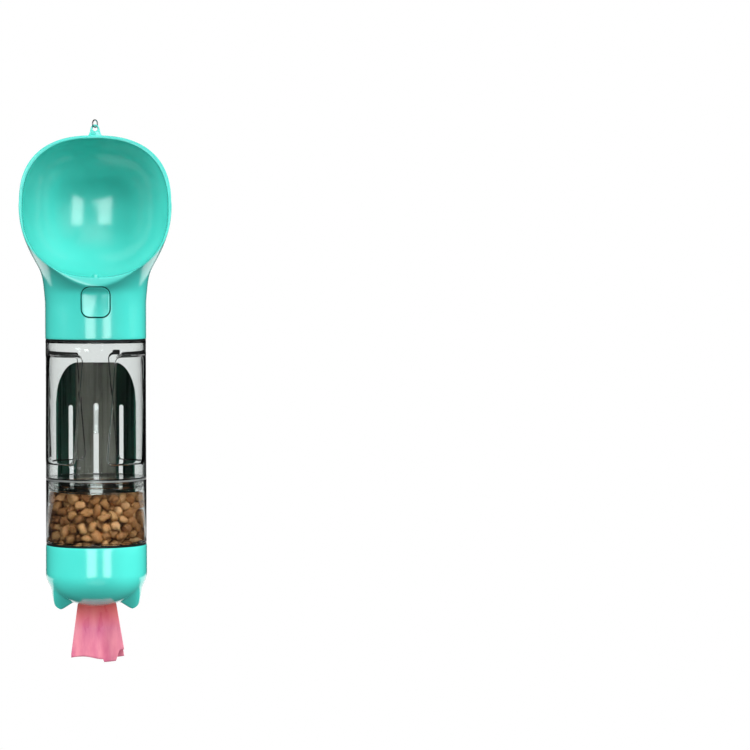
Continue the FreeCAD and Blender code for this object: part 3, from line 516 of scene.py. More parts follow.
mouth = neck_front(-0.12)
steps = [(WELL_GAP, INSIDE_NECK), (WELL_GAP, mouth), (0.0, mouth), (0.0, INSIDE_NECK),
         (0.0, WELL_FLOOR), (-1.5, WELL_FLOOR)]
rings = [button_ring(grow, y) for grow, y in steps]
# The well's darker mint is painted shade.
well = moulded("button_well", rings, painted_shade_mint, sharp=35, close_first=False)
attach(well, "head")
print("well floor at", WELL_FLOOR, "mm,", len(head.data.polygons), "faces in the head now")

# %% [markdown]
# The button's face follows the round of the neck, stands a little proud and is dished from
# top to bottom, so that a thumb finds it. Rings of the same rounded square, each drawn in
# further, make the rounded edge and the dish.

# %% Push button
BUTTON_PROUD, BUTTON_DISH, BUTTON_FACE = 0.3, 0.7, -1.25


def button_face(x, z):
    """Depth of the button's face, deepest across its middle height."""
    dish = (1 - (z / BUTTON_HALF_Z) ** 2) * (1 - abs(x / BUTTON_HALF_X) ** 5)
    return neck_front(BUTTON_PROUD)(x, z) + BUTTON_DISH * dish


steps = [(-0.65, -28.6), (-0.65, neck_front(-0.3)), (-0.73, neck_front(0.0)),
         (-0.9, neck_front(0.2)), (BUTTON_FACE, button_face)]
rings = [button_ring(grow, y) for grow, y in steps]
for share in (0.93, 0.85, 0.75, 0.62, 0.48, 0.33, 0.18, 0.06):
    drawn_in = [(x * share, z * share) for x, z in rounded_square(BUTTON_FACE)]
    rings.append([at(x, button_face(x, z), BUTTON_MIDDLE + z) for x, z in drawn_in])
button = moulded("push_button", rings, mint, sharp=50)

SHANK, SHANK_HEIGHT, SHANK_END = 2.0, 24, -20.0
section = [(SHANK * cos(t), SHANK * sin(t)) for t in map(radians, range(0, 360, 10))]
rings = [[at(x, INSIDE_NECK, SHANK_HEIGHT + z) for x, z in section],
         [at(x, SHANK_END - z, SHANK_HEIGHT + z) for x, z in section]]
shank = moulded("button_shank", rings, mint, sharp=35)
for piece in (button, shank):
    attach(piece, "button")
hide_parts("dispense_button")
print("button", len(button.data.polygons), "faces")

# %% [markdown]
# A flat ear with an eye stands on the crown, and a thin wire ring hangs in the eye. The ear
# is two rings joined by flat faces: the round eye inside and a rounded triangle outside,
# with small steps at the edges for a soft break. The wire ring is a circle spun a full turn.

# %% Hanging ear and wire ring
EYE_HEIGHT, EYE, EAR_Y, EAR_THICK = 130.6, 1.5, -16.7, 1.6
EAR_SIDES = 96
EAR_TOP, EAR_SHOULDER, EAR_FOOT = 2.7, 0.4, -5.4


def ear_half_width(z):
    """Half width at a height from the eye: a round top, and sides that flare to the foot."""
    if z > EAR_SHOULDER:
        return sqrt(max(EAR_TOP ** 2 - z ** 2, 0))
    down = (EAR_SHOULDER - z) / (EAR_SHOULDER - EAR_FOOT)
    return 2.67 + 1.3 * down + 1.5 * down ** 4


def in_ear(x, z):
    return z > EAR_FOOT and abs(x) < ear_half_width(z)


def ear_ring(kind, shrink, y):
    """A ring of the round eye, or of the ear's outline, at one depth."""
    points = []
    for i in range(EAR_SIDES):
        turn = 2 * pi * (i + 0.5) / EAR_SIDES
        x, z = cos(turn), sin(turn)
        if kind == "eye":
            reach = EYE + shrink
        else:
            reach = last_inside(1.0, 9.0, lambda r: in_ear(r * x, r * z), 24) - shrink
        points.append(at(x * reach, EAR_Y + y, EYE_HEIGHT + z * reach))
    return points


bm = bmesh.new()
half = EAR_THICK / 2
half_profile = [("eye", 0.0, 0.5), ("eye", 0.15, 0.2), ("eye", 0.5, 0.0),
                ("out", 0.3, 0.0), ("out", 0.08, 0.08), ("out", 0.0, 0.3)]
rings = [ear_ring(kind, shrink, -half + inset) for kind, shrink, inset in half_profile]
rings += [ear_ring(kind, shrink, half - inset) for kind, shrink, inset in reversed(half_profile)]
stacked(bm, rings)
bmesh.ops.bridge_loops(bm, edges=[e for e in bm.edges if e.is_boundary])
ear = finished_mesh(bm, "hanging_ear", mint, sharp=50)
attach(ear, "head")

wire = Recipe("polished_wire", Base_Color=linear("c9cdd2"), Metallic=1.0)
wire.use("Roughness", wire.between(wire.noise(1500.0, 3.0), 0.12, 0.3))
wire.bump(wire.noise(3000.0), 0.06, 0.0002)
RING, WIRE, RING_DROP, RING_TURN = 2.3, 0.4, 0.25, radians(40)
ring_middle = at(0, EAR_Y, EYE_HEIGHT + EYE - RING_DROP - WIRE + RING)
bm = bmesh.new()
section = bmesh.ops.create_circle(bm, cap_ends=False, radius=WIRE / 1000, segments=20)["verts"]
bmesh.ops.rotate(bm, verts=section, cent=(0, 0, 0), matrix=Matrix.Rotation(pi / 2, 3, "X"))
bmesh.ops.translate(bm, verts=section, vec=(RING / 1000, 0, 0))
bmesh.ops.spin(bm, geom=section + bm.edges[:], cent=(0, 0, 0), axis=(0, 0, 1),
               angle=2 * pi, steps=96, use_merge=True)
ring_axis = Vector((cos(RING_TURN), -sin(RING_TURN), 0))
bmesh.ops.transform(bm, verts=bm.verts, matrix=Matrix.Translation(ring_middle)
                    @ ring_axis.to_track_quat("Z", "Y").to_matrix().to_4x4())
wire_ring = finished_mesh(bm, "wire_ring", wire.material)
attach(wire_ring, "hanger")
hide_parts("hang_ring")
print("ring", [round(c * 1000, 1) for c in wire_ring.dimensions])

# %% [markdown]
# The bottle is clear plastic. A leaning recess on each side wraps almost half round it and
# gives the hand a grip; it is deep in front and behind and fades at the very side. Inside
# the wall bulges less than the outside is pressed in, so the sloping edges of a recess work
# as small prisms, and these are the dark lines that show on the real one. The rings lean
# with the recesses, so columns of faces run along their edges, and columns and rows stand
# closer together there.

# %% Grips: where the wall is pressed in
GRIP_TOP, GRIP_LOW, GRIP_MIDDLE, GRIP_HALF, GRIP_TWIST = -9.4, -78.2, 85.6, 71.7, 11.3
BOTTLE = 31.5
MM_PER_DEGREE = radians(1) * BOTTLE
SIDE_EDGE, GRIP_DEEP, GRIP_SHALLOWER, SIDE_DEEP = 12.0, 1.5, 0.3, 0.12


def grip_lean(z):
    return GRIP_TWIST * (GRIP_TOP - z) / (GRIP_TOP - GRIP_LOW)


def inside_outline(across, along, half_across, half_along, corner=4.5):
    """How far inside a rounded rectangle a place is, in mm."""
    over_x = abs(across) - half_across + corner
    over_z = abs(along) - half_along + corner
    return corner - hypot(max(over_x, 0), max(over_z, 0)) - min(max(over_x, over_z), 0)


def pressed(turn, z):
    """Depth of the recess: deep in front and behind, nearly nothing at the very side."""
    from_middle = abs((turn - GRIP_MIDDLE + 90) % 180 - 90) * MM_PER_DEGREE
    along, half_along = z - (GRIP_TOP + GRIP_LOW) / 2, (GRIP_TOP - GRIP_LOW) / 2
    deep_half = (GRIP_HALF - SIDE_EDGE) / 2 * MM_PER_DEGREE
    across = from_middle - SIDE_EDGE * MM_PER_DEGREE - deep_half
    ledge = 1.3 + 0.5 * ease((z + 14) / 5)
    deep = ease(inside_outline(across, along, deep_half, half_along) / ledge)
    whole = ease(inside_outline(from_middle, along, GRIP_HALF * MM_PER_DEGREE, half_along) / ledge)
    fall = ease((GRIP_TOP - z) / (GRIP_TOP - GRIP_LOW))
    return max((GRIP_DEEP - GRIP_SHALLOWER * fall) * deep, SIDE_DEEP * (1 - fall) * whole)


def spaced(start, end, coarse, fine, busy):
    """Steps from start to end, fine inside the busy stretches and coarse elsewhere."""
    out, here = [], start
    while here < end - 0.3 * fine:
        out.append(here)
        here += fine if any(a <= here < b for a, b in busy) else coarse
    return out


half_turn = spaced(0, 180, 3.0, 0.9, [(11, 22), (62, 72), (99, 109), (149, 160)])
bottle_turns = half_turn + [t + 180 for t in half_turn]
bottle_rows = [-z for z in spaced(2.2, 86.6, 3.6, 0.65, [(6.5, 16), (71, 80)])] + [-86.6]
print("bottle grid:", len(bottle_turns), "columns,", len(bottle_rows), "rows")

# %% Bottle
def bottle_ring(radius, z, press=None):
    """A ring of the bottle that leans with the grips; press gives how far it is pushed in."""
    lean = grip_lean(z)
    return [around(radius - (press(t, z) if press else 0.0), t + lean, z) for t in bottle_turns]


def pressed_inside(turn, z):
    """The inner wall is pressed in by a millimetre less than the outer one."""
    return max(pressed(turn, z) - 1.0, 0)


def clear_plastic(name, tint):
    recipe = Recipe(name, Base_Color=linear(tint), IOR=1.5, Transmission_Weight=1.0)
    recipe.use("Roughness", recipe.between(recipe.noise(60.0, 2.0), 0.01, 0.032))
    return recipe.bump(recipe.noise(45.0, 1.0), 0.04, 0.0006).material


bottle_clear = clear_plastic("clear_bottle_plastic", "f3f6f5")
INNER = 30.2
foot = softened([(0.3, -87.0, 0), (28.4, -87.0, 0.3), (28.4, -95.6, 0.3), (29.22, -95.6, 0.3),
                 (29.22, -87.3, 0.2), (BOTTLE, -87.3, 0.3), (BOTTLE, -86.7, 0)])
shoulder = softened([(BOTTLE, -1.8, 0), (BOTTLE, -1.3, 0.4), (26.0, -1.3, 0.3), (26.0, 8.5, 0.6),
                     (23.9, 8.5, 0.6), (23.9, -2.2, 0.5), (INNER, -2.2, 0.4), (INNER, -2.7, 0)])
floor_inside = softened([(INNER, -86.0, 0), (INNER, -86.6, 0.4), (0.3, -86.6, 0)])
inner_rows = [-3.4] + [z for z in bottle_rows if -85.6 < z < -4.0] + [-85.6]
rings = [bottle_ring(r, z) for r, z in foot]
rings += [bottle_ring(BOTTLE, z, pressed) for z in reversed(bottle_rows)]
rings += [bottle_ring(r, z) for r, z in shoulder]
rings += [bottle_ring(INNER, z, pressed_inside) for z in inner_rows]
rings += [bottle_ring(r, z) for r, z in floor_inside]
bottle = moulded("clear_bottle", rings, bottle_clear, sharp=45)
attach(bottle, "bottle")
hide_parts("water_bottle")
print("bottle", len(bottle.data.polygons), "faces")

# %% [markdown]
# On the back of the bottle a T-shaped rail carries the shovel: one T outline, drawn upwards
# into a bar, with all its edges bevelled.

# %% Rail on the back
RAIL_LOW, RAIL_HIGH = -61.3, -43.0
WEB, ARM, BOTTLE_BACK, ARM_FRONT, ARM_BACK = 1.4, 3.5, 31.45, 33.8, 35.0


def drawn_out(bm, outline, way):
    """Fill a flat outline and draw it along a way into a bar."""
    face = bm.faces.new([bm.verts.new(point) for point in outline])
    drawn = bmesh.ops.extrude_face_region(bm, geom=[face])["geom"]
    bmesh.ops.translate(bm, vec=way, verts=[v for v in drawn if isinstance(v, bmesh.types.BMVert)])


bm = bmesh.new()
t_outline = [(-WEB, BOTTLE_BACK), (WEB, BOTTLE_BACK), (WEB, ARM_FRONT), (ARM, ARM_FRONT),
             (ARM, ARM_BACK), (-ARM, ARM_BACK), (-ARM, ARM_FRONT), (-WEB, ARM_FRONT)]
drawn_out(bm, [at(x, y, RAIL_LOW) for x, y in t_outline], (0, 0, (RAIL_HIGH - RAIL_LOW) / 1000))
bmesh.ops.bevel(bm, geom=bm.edges[:], offset=0.00025, segments=3, profile=0.5,
                affect="EDGES", material=-1)
rail = finished_mesh(bm, "shovel_rail", bottle_clear, sharp=60)
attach(rail, "bottle")
print("rail", len(rail.data.polygons), "faces")

# %% [markdown]
# The food cup screws on a spigot under the bottle. The thread is a small ridge spun round
# the spigot while it moves down by one pitch a turn: spin does both at once. The cup itself
# is a turned profile, closed below, with a low foot under its wide part.

# %% Thread and food cup
SPIGOT, RIDGE, THREAD_TOP, PITCH, THREAD_TURNS, STEPS = 29.22, 0.6, -88.8, 3.0, 2.1, 72
bm = bmesh.new()
ridge = [(-0.05, 0.0), (RIDGE, -0.35), (RIDGE, -0.75), (-0.05, -1.2)]
corners = [bm.verts.new(at(0, -SPIGOT - out, THREAD_TOP + down)) for out, down in ridge]
face = bm.faces.new(corners)
bmesh.ops.spin(bm, geom=[face, *face.edges, *corners], cent=at(0, 0, 0), axis=(0, 0, 1),
               dvec=(0, 0, -PITCH / STEPS / 1000), angle=2 * pi * THREAD_TURNS,
               steps=int(STEPS * THREAD_TURNS), use_merge=False)
spigot_thread = finished_mesh(bm, "spigot_thread", bottle_clear, sharp=30)
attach(spigot_thread, "bottle")
print("thread", [round(c * 1000, 1) for c in spigot_thread.dimensions])

cup_clear = clear_plastic("clear_cup_plastic", "f1f4f2")
cup = turned("food_cup_shell", [
    (0, -132.5, 0), (28.8, -132.5, 0.8), (28.8, -127.8, 0.2), (BOTTLE, -127.8, 0.6),
    (BOTTLE, -88.4, 0.4), (30.8, -88.4, 0.3), (30.8, -127.0, 0.6), (27.8, -127.0, 0.3),
    (27.8, -131.6, 0.6), (0, -131.6, 0)], cup_clear, sides=160)
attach(cup, "cup")
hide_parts("food_cup")
print("cup", [round(c * 1000, 1) for c in cup.dimensions])

# %% [markdown]
# Kibble is baked pellets, each a little different. A few hundred start at random places in
# the cup and push each other apart until they hardly touch, which packs them as shaking
# would. Each is a small ball, drawn long, turned its own way, with a few sides pressed flat
# and another where it meets the cup's wall. It carries its own shade as an attribute that
# the material reads.

# %% Pack the kibble
CUP_FLOOR, FOOT_TOP, SPIGOT_END, KIBBLE_TOP = -131.45, -126.6, -95.9, -98.3
PELLETS, PELLET, SHAKES, SPREAD = 415, 6.3, 60, 26
NEARBY = [(dx, dy, dz) for dx in (-1, 0, 1) for dy in (-1, 0, 1) for dz in (-1, 0, 1)]


def cup_room(z):
    """Radius that the kibble may fill at a height."""
    if z < FOOT_TOP:
        return 27.6
    return 30.7 if z < SPIGOT_END else 28.1


def kept_in(point, room):
    """Move a point in towards the axis until it is within the room."""
    reach = hypot(point.x, point.y)
    if reach > room:
        point.x, point.y = point.x * room / reach, point.y * room / reach


def pushes(places, size):
    """How far each place is pushed by those that are nearer to it than one pellet."""
    cells = {}
    for i, p in enumerate(places):
        cells.setdefault((int(p.x // size), int(p.y // size), int(p.z // size)), []).append(i)
    moves = [Vector() for _ in places]
    for (cx, cy, cz), members in cells.items():
        near = [j for dx, dy, dz in NEARBY for j in cells.get((cx + dx, cy + dy, cz + dz), ())]
        for i in members:
            for j in near:
                gap = places[i] - places[j]
                if i < j and gap.length < size:
                    apart = max(gap.length, 0.01)
                    push = gap * (0.35 * (size - apart) / apart)
                    moves[i] += push
                    moves[j] -= push
    return moves


def packed_places(count, size, seed):
    """Random places pushed apart inside the cup, in mm; the heap slopes down to the back."""
    chance = random.Random(seed)
    low = -131.4 + size * 0.42
    places = []
    for _ in range(count):
        turn, share = chance.uniform(0, 2 * pi), sqrt(chance.random())
        places.append(Vector((SPREAD * share * cos(turn), SPREAD * share * sin(turn),
                              chance.uniform(low, KIBBLE_TOP))))
    for _ in range(SHAKES):
        for p, move in zip(places, pushes(places, size)):
            p += move
            p.z = min(max(p.z, low), KIBBLE_TOP - 0.09 * (p.y + 30))
            kept_in(p, cup_room(p.z) - size * 0.43)
    return places


kibble_places = packed_places(PELLETS, PELLET, 11)
print("pellets:", len(kibble_places))

# %% Shape the kibble
def kibble_material():
    recipe = Recipe("baked_kibble", IOR=1.45)
    shade = recipe.node("Attribute", attribute_name="pellet_shade").outputs["Fac"]
    crumbs = recipe.noise(700.0, 5.0)
    shift = recipe.between(crumbs, -0.22, 0.22)
    tone = recipe.node("Math", {0: shade, 1: shift}, operation="ADD").outputs[0]
    baked = [(0.0, "7d4f2b"), (0.4, "a87242"), (0.7, "c6935f"), (1.0, "ddb385")]
    recipe.use("Base Color", recipe.colours(tone, baked))
    recipe.use("Roughness", recipe.between(crumbs, 0.4, 0.75))
    return recipe.bump(crumbs, 0.5, 0.0006).material


def any_way(chance):
    return Vector([chance.uniform(-1, 1) for _ in range(3)]).normalized()


def pellet(bm, place, chance, shade_layer):
    """A ball with a few sides pressed flat, drawn long and turned, and kept inside the cup."""
    made = bmesh.ops.create_icosphere(bm, subdivisions=2, radius=1.0)["verts"]
    size = Vector((chance.uniform(3.3, 4.9), chance.uniform(2.9, 3.7), chance.uniform(2.4, 3.1)))
    axis = any_way(chance)
    turn = Matrix.Rotation(chance.uniform(0, pi), 3, axis)
    flats = [(any_way(chance), chance.uniform(0.55, 0.82)) for _ in range(7)]
    shade = chance.uniform(0.15, 0.85)
    for corner in made:
        way = corner.co.normalized()
        for side, reach in flats:
            way = way - side * max(way.dot(side) - reach, 0)
        point = turn @ Vector((way.x * size.x, way.y * size.y, way.z * size.z)) * 1.08 + place
        point.z = max(point.z, CUP_FLOOR)
        kept_in(point, cup_room(point.z))
        corner.co = at(*point)
        corner[shade_layer] = shade


chance = random.Random(5)
bm = bmesh.new()
shade_layer = bm.verts.layers.float.new("pellet_shade")
for place in kibble_places:
    pellet(bm, place, chance, shade_layer)
kibble = finished_mesh(bm, "kibble_pellets", kibble_material(), sharp=42)
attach(kibble, "cup")
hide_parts("kibble_fill")
print("kibble", len(kibble.data.polygons), "faces")

# %% [markdown]
# The shovel is one sheet of dark plastic folded in three and slotted so that sand falls
# through. Its flat shape is the CAD one, so a copy of that mesh is merged, its flat faces
# are joined up again and every edge gets a narrow bevel. On the real one the bevel catches
# the light as a pale line all round the sheet. Two cutters then round the upper corners.

# %% Shovel
def eased_copy(node, name, finish, width):
    """A merged copy of a CAD node with its sharp edges bevelled."""
    bm = bmesh.new()
    bm.from_mesh(frame["nodes"][node].data)
    bmesh.ops.remove_doubles(bm, verts=bm.verts, dist=1e-6)
    bmesh.ops.dissolve_limit(bm, angle_limit=radians(1), verts=bm.verts, edges=bm.edges)
    keen = [e for e in bm.edges
            if len(e.link_faces) == 2 and e.calc_face_angle(0) > radians(30)]
    bmesh.ops.bevel(bm, geom=keen, offset=width / 1000, segments=2, profile=0.5,
                    affect="EDGES", material=-1, clamp_overlap=True)
    return finished_mesh(bm, name, finish, sharp=35)


def shovel_plastic():
    """Dark green plastic, with a painted reflection that makes the middle panel greyer and lighter.
    """
    recipe = Recipe("dark_shovel_plastic", IOR=1.5)
    streaks = recipe.noise(420.0, 3.0, recipe.stretched(0.04))
    sideways = recipe.node("SeparateXYZ", {"Vector": recipe.place}).outputs["X"]
    off_middle = recipe.node("Math", {0: sideways}, operation="ABSOLUTE").outputs[0]
    fold = {"Value": off_middle, "From Min": 0.0122, "From Max": 0.0134}
    panel = recipe.node("MapRange", fold).outputs["Result"]
    side = recipe.colours(streaks, [(0.3, "123f33"), (0.7, "255a4b")])
    # The grey middle colour is a painted reflection of the lamps over the dark green plastic.
    middle = recipe.colours(streaks, [(0.3, "7d7b71"), (0.7, "97948b")])
    shovel_with_painted_reflection = recipe.node("Mix", {"Factor": panel, "A": middle, "B": side}, data_type="RGBA")
    recipe.use("Base Color", shovel_with_painted_reflection.outputs["Result"])
    recipe.use("Roughness", recipe.between(streaks, 0.18, 0.4))
    return recipe.bump(streaks, 0.12, 0.0003).material


shovel = eased_copy("shovel", "slotted_shovel", shovel_plastic(), 0.35)
SHOVEL_TOP, FLAT_TOP, SHOVEL_HALF, CORNER_TALL = -16.0, 12.0, 25.4, 24.0
for hand in (1, -1):
    bm = bmesh.new()
    arc = [radians(a) for a in range(90, -1, -5)]
    profile = [(FLAT_TOP + (SHOVEL_HALF - FLAT_TOP) * cos(a),
                SHOVEL_TOP - CORNER_TALL * (1 - sin(a))) for a in arc]
    profile += [(32, SHOVEL_TOP - CORNER_TALL), (32, -10), (FLAT_TOP, -10)]
    drawn_out(bm, [at(hand * x, 5, z) for x, z in profile], (0, 0.045, 0))
    cut_out(shovel, finished_mesh(bm, "corner_cutter"), sharp=35)
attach(shovel, "shovel")
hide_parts("shovel")
print("shovel", len(shovel.data.polygons), "faces")

# %% [markdown]
# The bag box closes the bottom with half a dome and two cat ears that it can stand on.
# Both ears and dome are one moulding, so one rule gives its surface: along each direction
# down from the middle of the dome, the skin is where the farther of dome and ear ends. An
# ear is what lies inside a tapering wall, a front and a back facet and an inner facet, and
# `soft_least` and `soft_most` round the edges where two of these meet.

# %% The rule of dome and ears
BOX, BAND_LOW, DOME = 31.7, -146.5, 21.5
EAR_WALL, EAR_FACET, EAR_INNER = 30.3, 18.0, 7.4


def soft_least(a, b, edge):
    share = max(edge - abs(a - b), 0) / edge
    return min(a, b) - share * share * edge / 4


def soft_most(a, b, edge):
    return -soft_least(-a, -b, edge)


def box_reach(way):
    """Distance from the middle of the dome to its skin along a downward direction."""
    flat, down, side, front = hypot(way.x, way.y), -way.z, abs(way.x), abs(way.y)
    dome = 1 / sqrt((flat / BOX) ** 2 + (down / DOME) ** 2)
    wall = EAR_WALL / (flat + 0.18 * down)
    facet = EAR_FACET / max(0.04 * side + 0.70 * front + 0.712 * down, 1e-6)
    inner = EAR_INNER / max(0.819 * down - 0.574 * side, 0.05)
    ear = soft_least(soft_least(wall, facet, 7.0), inner, 5.0)
    return soft_most(dome, ear, 1.2)


# %% Bag box
BOX_SIDES, BOX_INNER, BOX_RIM = 192, 28.88, -129.1


def circle_ring(radius, z):
    return [around(radius, 360 * i / BOX_SIDES, z) for i in range(BOX_SIDES)]


rings = []
for angle in range(88, 0, -8):
    turn = radians(angle)
    rings.append(circle_ring(BOX_INNER * cos(turn), BAND_LOW - 19.3 * sin(turn)))
band = softened([(BOX_INNER, BAND_LOW, 0), (BOX_INNER, BOX_RIM, 0.4), (BOX, BOX_RIM, 0.6),
                 (BOX, -133.0, 0), (BOX, -139.0, 0), (BOX, -145.0, 0)])
rings += [circle_ring(r, z) for r, z in band]
for step in range(60):
    turn = radians(1.5 * step)
    flat, down = cos(turn), sin(turn)
    ring = []
    for i in range(BOX_SIDES):
        spin = 2 * pi * i / BOX_SIDES
        way = Vector((-sin(spin) * flat, -cos(spin) * flat, -down))
        point = way * (box_reach(way) if step else BOX)
        ring.append(at(point.x, point.y, BAND_LOW + point.z))
    rings.append(ring)
box = moulded("bag_box_shell", rings, mint, sharp=60)
SLOT_HALF, SLOT_ROUND, SLOT_STEPS = 12.8, 3.5, 10


def slot_ring(z):
    """The film's slot: two half circles joined by straight sides."""
    points = []
    for side in (1, -1):
        for step in range(SLOT_STEPS + 1):
            turn = radians(-90 + 180 * step / SLOT_STEPS)
            x = SLOT_HALF - SLOT_ROUND + SLOT_ROUND * cos(turn)
            points.append(at(side * x, side * SLOT_ROUND * sin(turn), z))
    return points


cut_out(box, moulded("slot_cutter", [slot_ring(-175), slot_ring(-158)]), sharp=50)
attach(box, "box")
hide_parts("bag_box")
print("bag box", len(box.data.polygons), "faces,",
      round(box.bound_box[0][2] * 1000 + SEAM_DROP, 1), "mm lowest")

# %% [markdown]
# Waste bags are thin pink film, wound flat on a card tube. Inside the box the roll shows its
# wound edges; out of the slot hangs the end of the next bag. The film is a sheet folded
# on itself: a front layer, a fold at the left, and a back layer. The sheet starts as a
# grid whose rows are laid along the folded line, and waves grow towards the free end. Near
# the slot the material mixes an orange-red in by height, as painted shade under the box.

# %% Wound roll
def film(name, *shades):
    recipe = Recipe(name, IOR=1.45)
    creases = recipe.noise(150.0, 5.0, recipe.stretched(0.3))
    recipe.use("Base Color", recipe.colours(creases, list(zip((0.3, 0.7), shades))))
    recipe.use("Roughness", recipe.between(creases, 0.2, 0.42))
    return recipe.bump(creases, 0.35, 0.0008)


ROLL_HEIGHT, ROLL_HALF, LAPS = -145.35, 23.0, 18
side = [(5.9 + 0.36 * lap, ROLL_HALF - (0.3 if lap % 2 else 0.0)) for lap in range(LAPS)]
line = [(5.55, -ROLL_HALF), (5.55, ROLL_HALF)] + side
line += [(12.45, 22.6), (12.5, 8.0), (12.44, 0.0), (12.5, -8.0), (12.45, -22.6)]
line += [(r, -x) for r, x in reversed(side)]
bm = bmesh.new()
corners = [bm.verts.new(at(x, r, ROLL_HEIGHT)) for r, x in line]
edges = [bm.edges.new(pair) for pair in zip(corners, corners[1:] + corners[:1])]
bmesh.ops.spin(bm, geom=corners + edges, cent=at(0, 0, ROLL_HEIGHT), axis=(1, 0, 0),
               angle=2 * pi, steps=64, use_merge=True)
roll = finished_mesh(bm, "wound_bags", film("wound_film", "c8607e", "d87c96").material, sharp=30)
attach(roll, "roll")
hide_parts("bag_roll")

# %% Hanging film
TAIL_TOP, TAIL_END = -158.2, -201.0
FRONT_END, BACK_START, LAYER = 0.5, 0.53, 0.47


def tail_point(u, v):
    """Place of the film: u runs over the front layer, the fold and the back layer; v down."""
    front = u < FRONT_END
    share = 1 - u / LAYER if front else (u - BACK_START) / LAYER
    across = min(max(share, 0.0), 1.0)
    lower = ease((v - 0.15) / 0.85)
    left, right = -10.7 - 5.4 * v, 10.8 + 6.3 * v
    pleat = (sin(9.0 * across + 0.6) * 1.5 + sin(17.0 * across + 2.0 * v) * 0.5) * lower
    y = pleat * (0.6 + 0.4 * v)
    if share == across:
        y += (0.9 + 0.6 * lower) * (-1 if front else 1) * min(across * 6, 1)
    z = TAIL_TOP + (TAIL_END - TAIL_TOP) * v
    if front:
        notch = 1.8 if 0.62 < across < 0.85 else 0.0
        z += v * (0.9 * sin(7 * across) - notch * ease((v - 0.7) / 0.3))
        z += 4.6 * v * ease((across - 0.86) / 0.06)
    else:
        y += 1.2 * lower * sin(3.0 * across)
        z += 2.6 * v * (0.4 + sin(5 * across + 1.0) * 0.5)
    return at(left + (right - left) * across, y, z)


bm = bmesh.new()
bmesh.ops.create_grid(bm, x_segments=96, y_segments=40, size=0.5)
for corner in bm.verts:
    corner.co = tail_point(corner.co.x + 0.5, 0.5 - corner.co.y)
film_area = sum(face.calc_area() for face in bm.faces)
pink = film("pink_film", "c25c80", "de8a9a")
height = pink.node("SeparateXYZ", {"Vector": pink.place}).outputs["Z"]
# Near the slot an orange-red is mixed in: painted shade where the film leaves the box.
near_slot = {"Value": height, "From Min": -0.318, "From Max": -0.304, "To Max": 0.7}
slot_painted_shade = pink.node("MapRange", near_slot).outputs["Result"]
plain_tone = pink.shader.inputs["Base Color"].links[0].from_socket
blend = {"Factor": slot_painted_shade, "A": plain_tone, "B": linear("e8583a")}
pink.use("Base Color", pink.node("Mix", blend, data_type="RGBA").outputs["Result"])
tail = finished_mesh(bm, "hanging_film", pink.material, sharp=70)
tail.modifiers.new("film", "SOLIDIFY").thickness = 0.00006
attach(tail, "tail")
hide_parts("bag_tail")
print("film area", round(film_area * 1e6), "mm2")

# %% [markdown]
# What is left are CAD parts that hardly show: seals, the valve under the button, the glued
# collar in the neck. Their turned shapes are right as they are, so they only get their
# finish: black rubber, white plastic, spring wire, card and cloudy silicone. In each, one
# noise drives colour, gloss and bump together.

# %% Finish of the small CAD parts
finishes = {
    "black_rubber": even_finish("black_rubber", (400.0, 4.0), (0.15, 0.0003),
                                [(0.3, "0c0c0c"), (0.8, "1c1c1c")], (0.45, 0.7), IOR=1.5),
    "inner_plastic": even_finish("inner_plastic", (90.0, 3.0), (0.08, 0.0003),
                                 [(0.3, "d9dddc"), (0.7, "e6e9e8")], (0.35, 0.5), IOR=1.5),
    "spring_steel": even_finish("spring_wire", (2500.0, 2.0), (0.1, 0.0002), gloss=(0.2, 0.45),
                                Base_Color=linear("aeb1b6"), Metallic=1.0),
    "tube_board": even_finish("tube_card", (800.0, 6.0), (0.3, 0.0004),
                              [(0.2, "8f7350"), (0.8, "b3966e")], Roughness=0.85),
    "clear_silicone": even_finish("clear_silicone", (300.0, 3.0), (0.05, 0.0002),
                                  [(0.3, "dfe4e3"), (0.7, "eef1f0")], (0.25, 0.4),
                                  IOR=1.41, Transmission_Weight=0.85),
    "mint_plastic": mint}
for subpart in frame["record"]["subparts"]:
    node = frame["nodes"][subpart["node"]]
    if subpart["material_slot"] in finishes and not node.hide_render:
        finish = mint if subpart["node"] == "outlet_nozzle" else finishes[subpart["material_slot"]]
        node.data.materials.clear()
        node.data.materials.append(finish)
        print(subpart["node"], "gets", subpart["material_slot"])

# %% [markdown]
# The object hangs in front of a plain white backdrop, over a floor that lies behind it. Both
# are white for the camera and for what glass and gloss show of them, and add little light.
# Around the object it is dark: clear plastic is drawn by the dark that its edges bend into
# view. Panels in front and at the sides light the mint plastic. They are left out of
# reflections, and light linking lets one reach only the clear pieces, so that what is inside
# shows, and another only the box and its film from below. Two tall strips draw the long
# highlights on the head. They are seen only as gloss, and the clear pieces leave them out.

# %% Backdrop, floor and world
def plain_white(name):
    recipe = Recipe(name, Roughness=0.9)
    grain = recipe.noise(3.0, 2.0)
    recipe.use("Base Color", recipe.colours(grain, [(0.0, "8c8c8c"), (1.0, "949494")]))
    rays = recipe.node("LightPath").outputs
    seen = rays["Is Camera Ray"]
    for kind in ("Is Transmission Ray", "Is Glossy Ray"):
        seen = recipe.node("Math", {0: seen, 1: rays[kind]}, operation="MAXIMUM").outputs[0]
    glow = recipe.node("Emission", {"Color": (1, 1, 1, 1), "Strength": 1.0}).outputs[0]
    mix = recipe.node("MixShader", {0: seen, 1: recipe.shader.outputs[0], 2: glow})
    recipe.links.new(mix.outputs[0], recipe.nodes["Material Output"].inputs["Surface"])
    return recipe.material


def backdrop_plane(name, width, height, middle, upright):
    bm = bmesh.new()
    bmesh.ops.create_grid(bm, x_segments=2, y_segments=2, size=0.5)
    bmesh.ops.scale(bm, vec=(width, height, 1), verts=bm.verts)
    if upright:
        stand = Matrix.Rotation(pi / 2, 3, "X")
        bmesh.ops.rotate(bm, verts=bm.verts, cent=(0, 0, 0), matrix=stand)
    bmesh.ops.translate(bm, verts=bm.verts, vec=middle)
    plane = finished_mesh(bm, name, plain_white(name + "_white"))


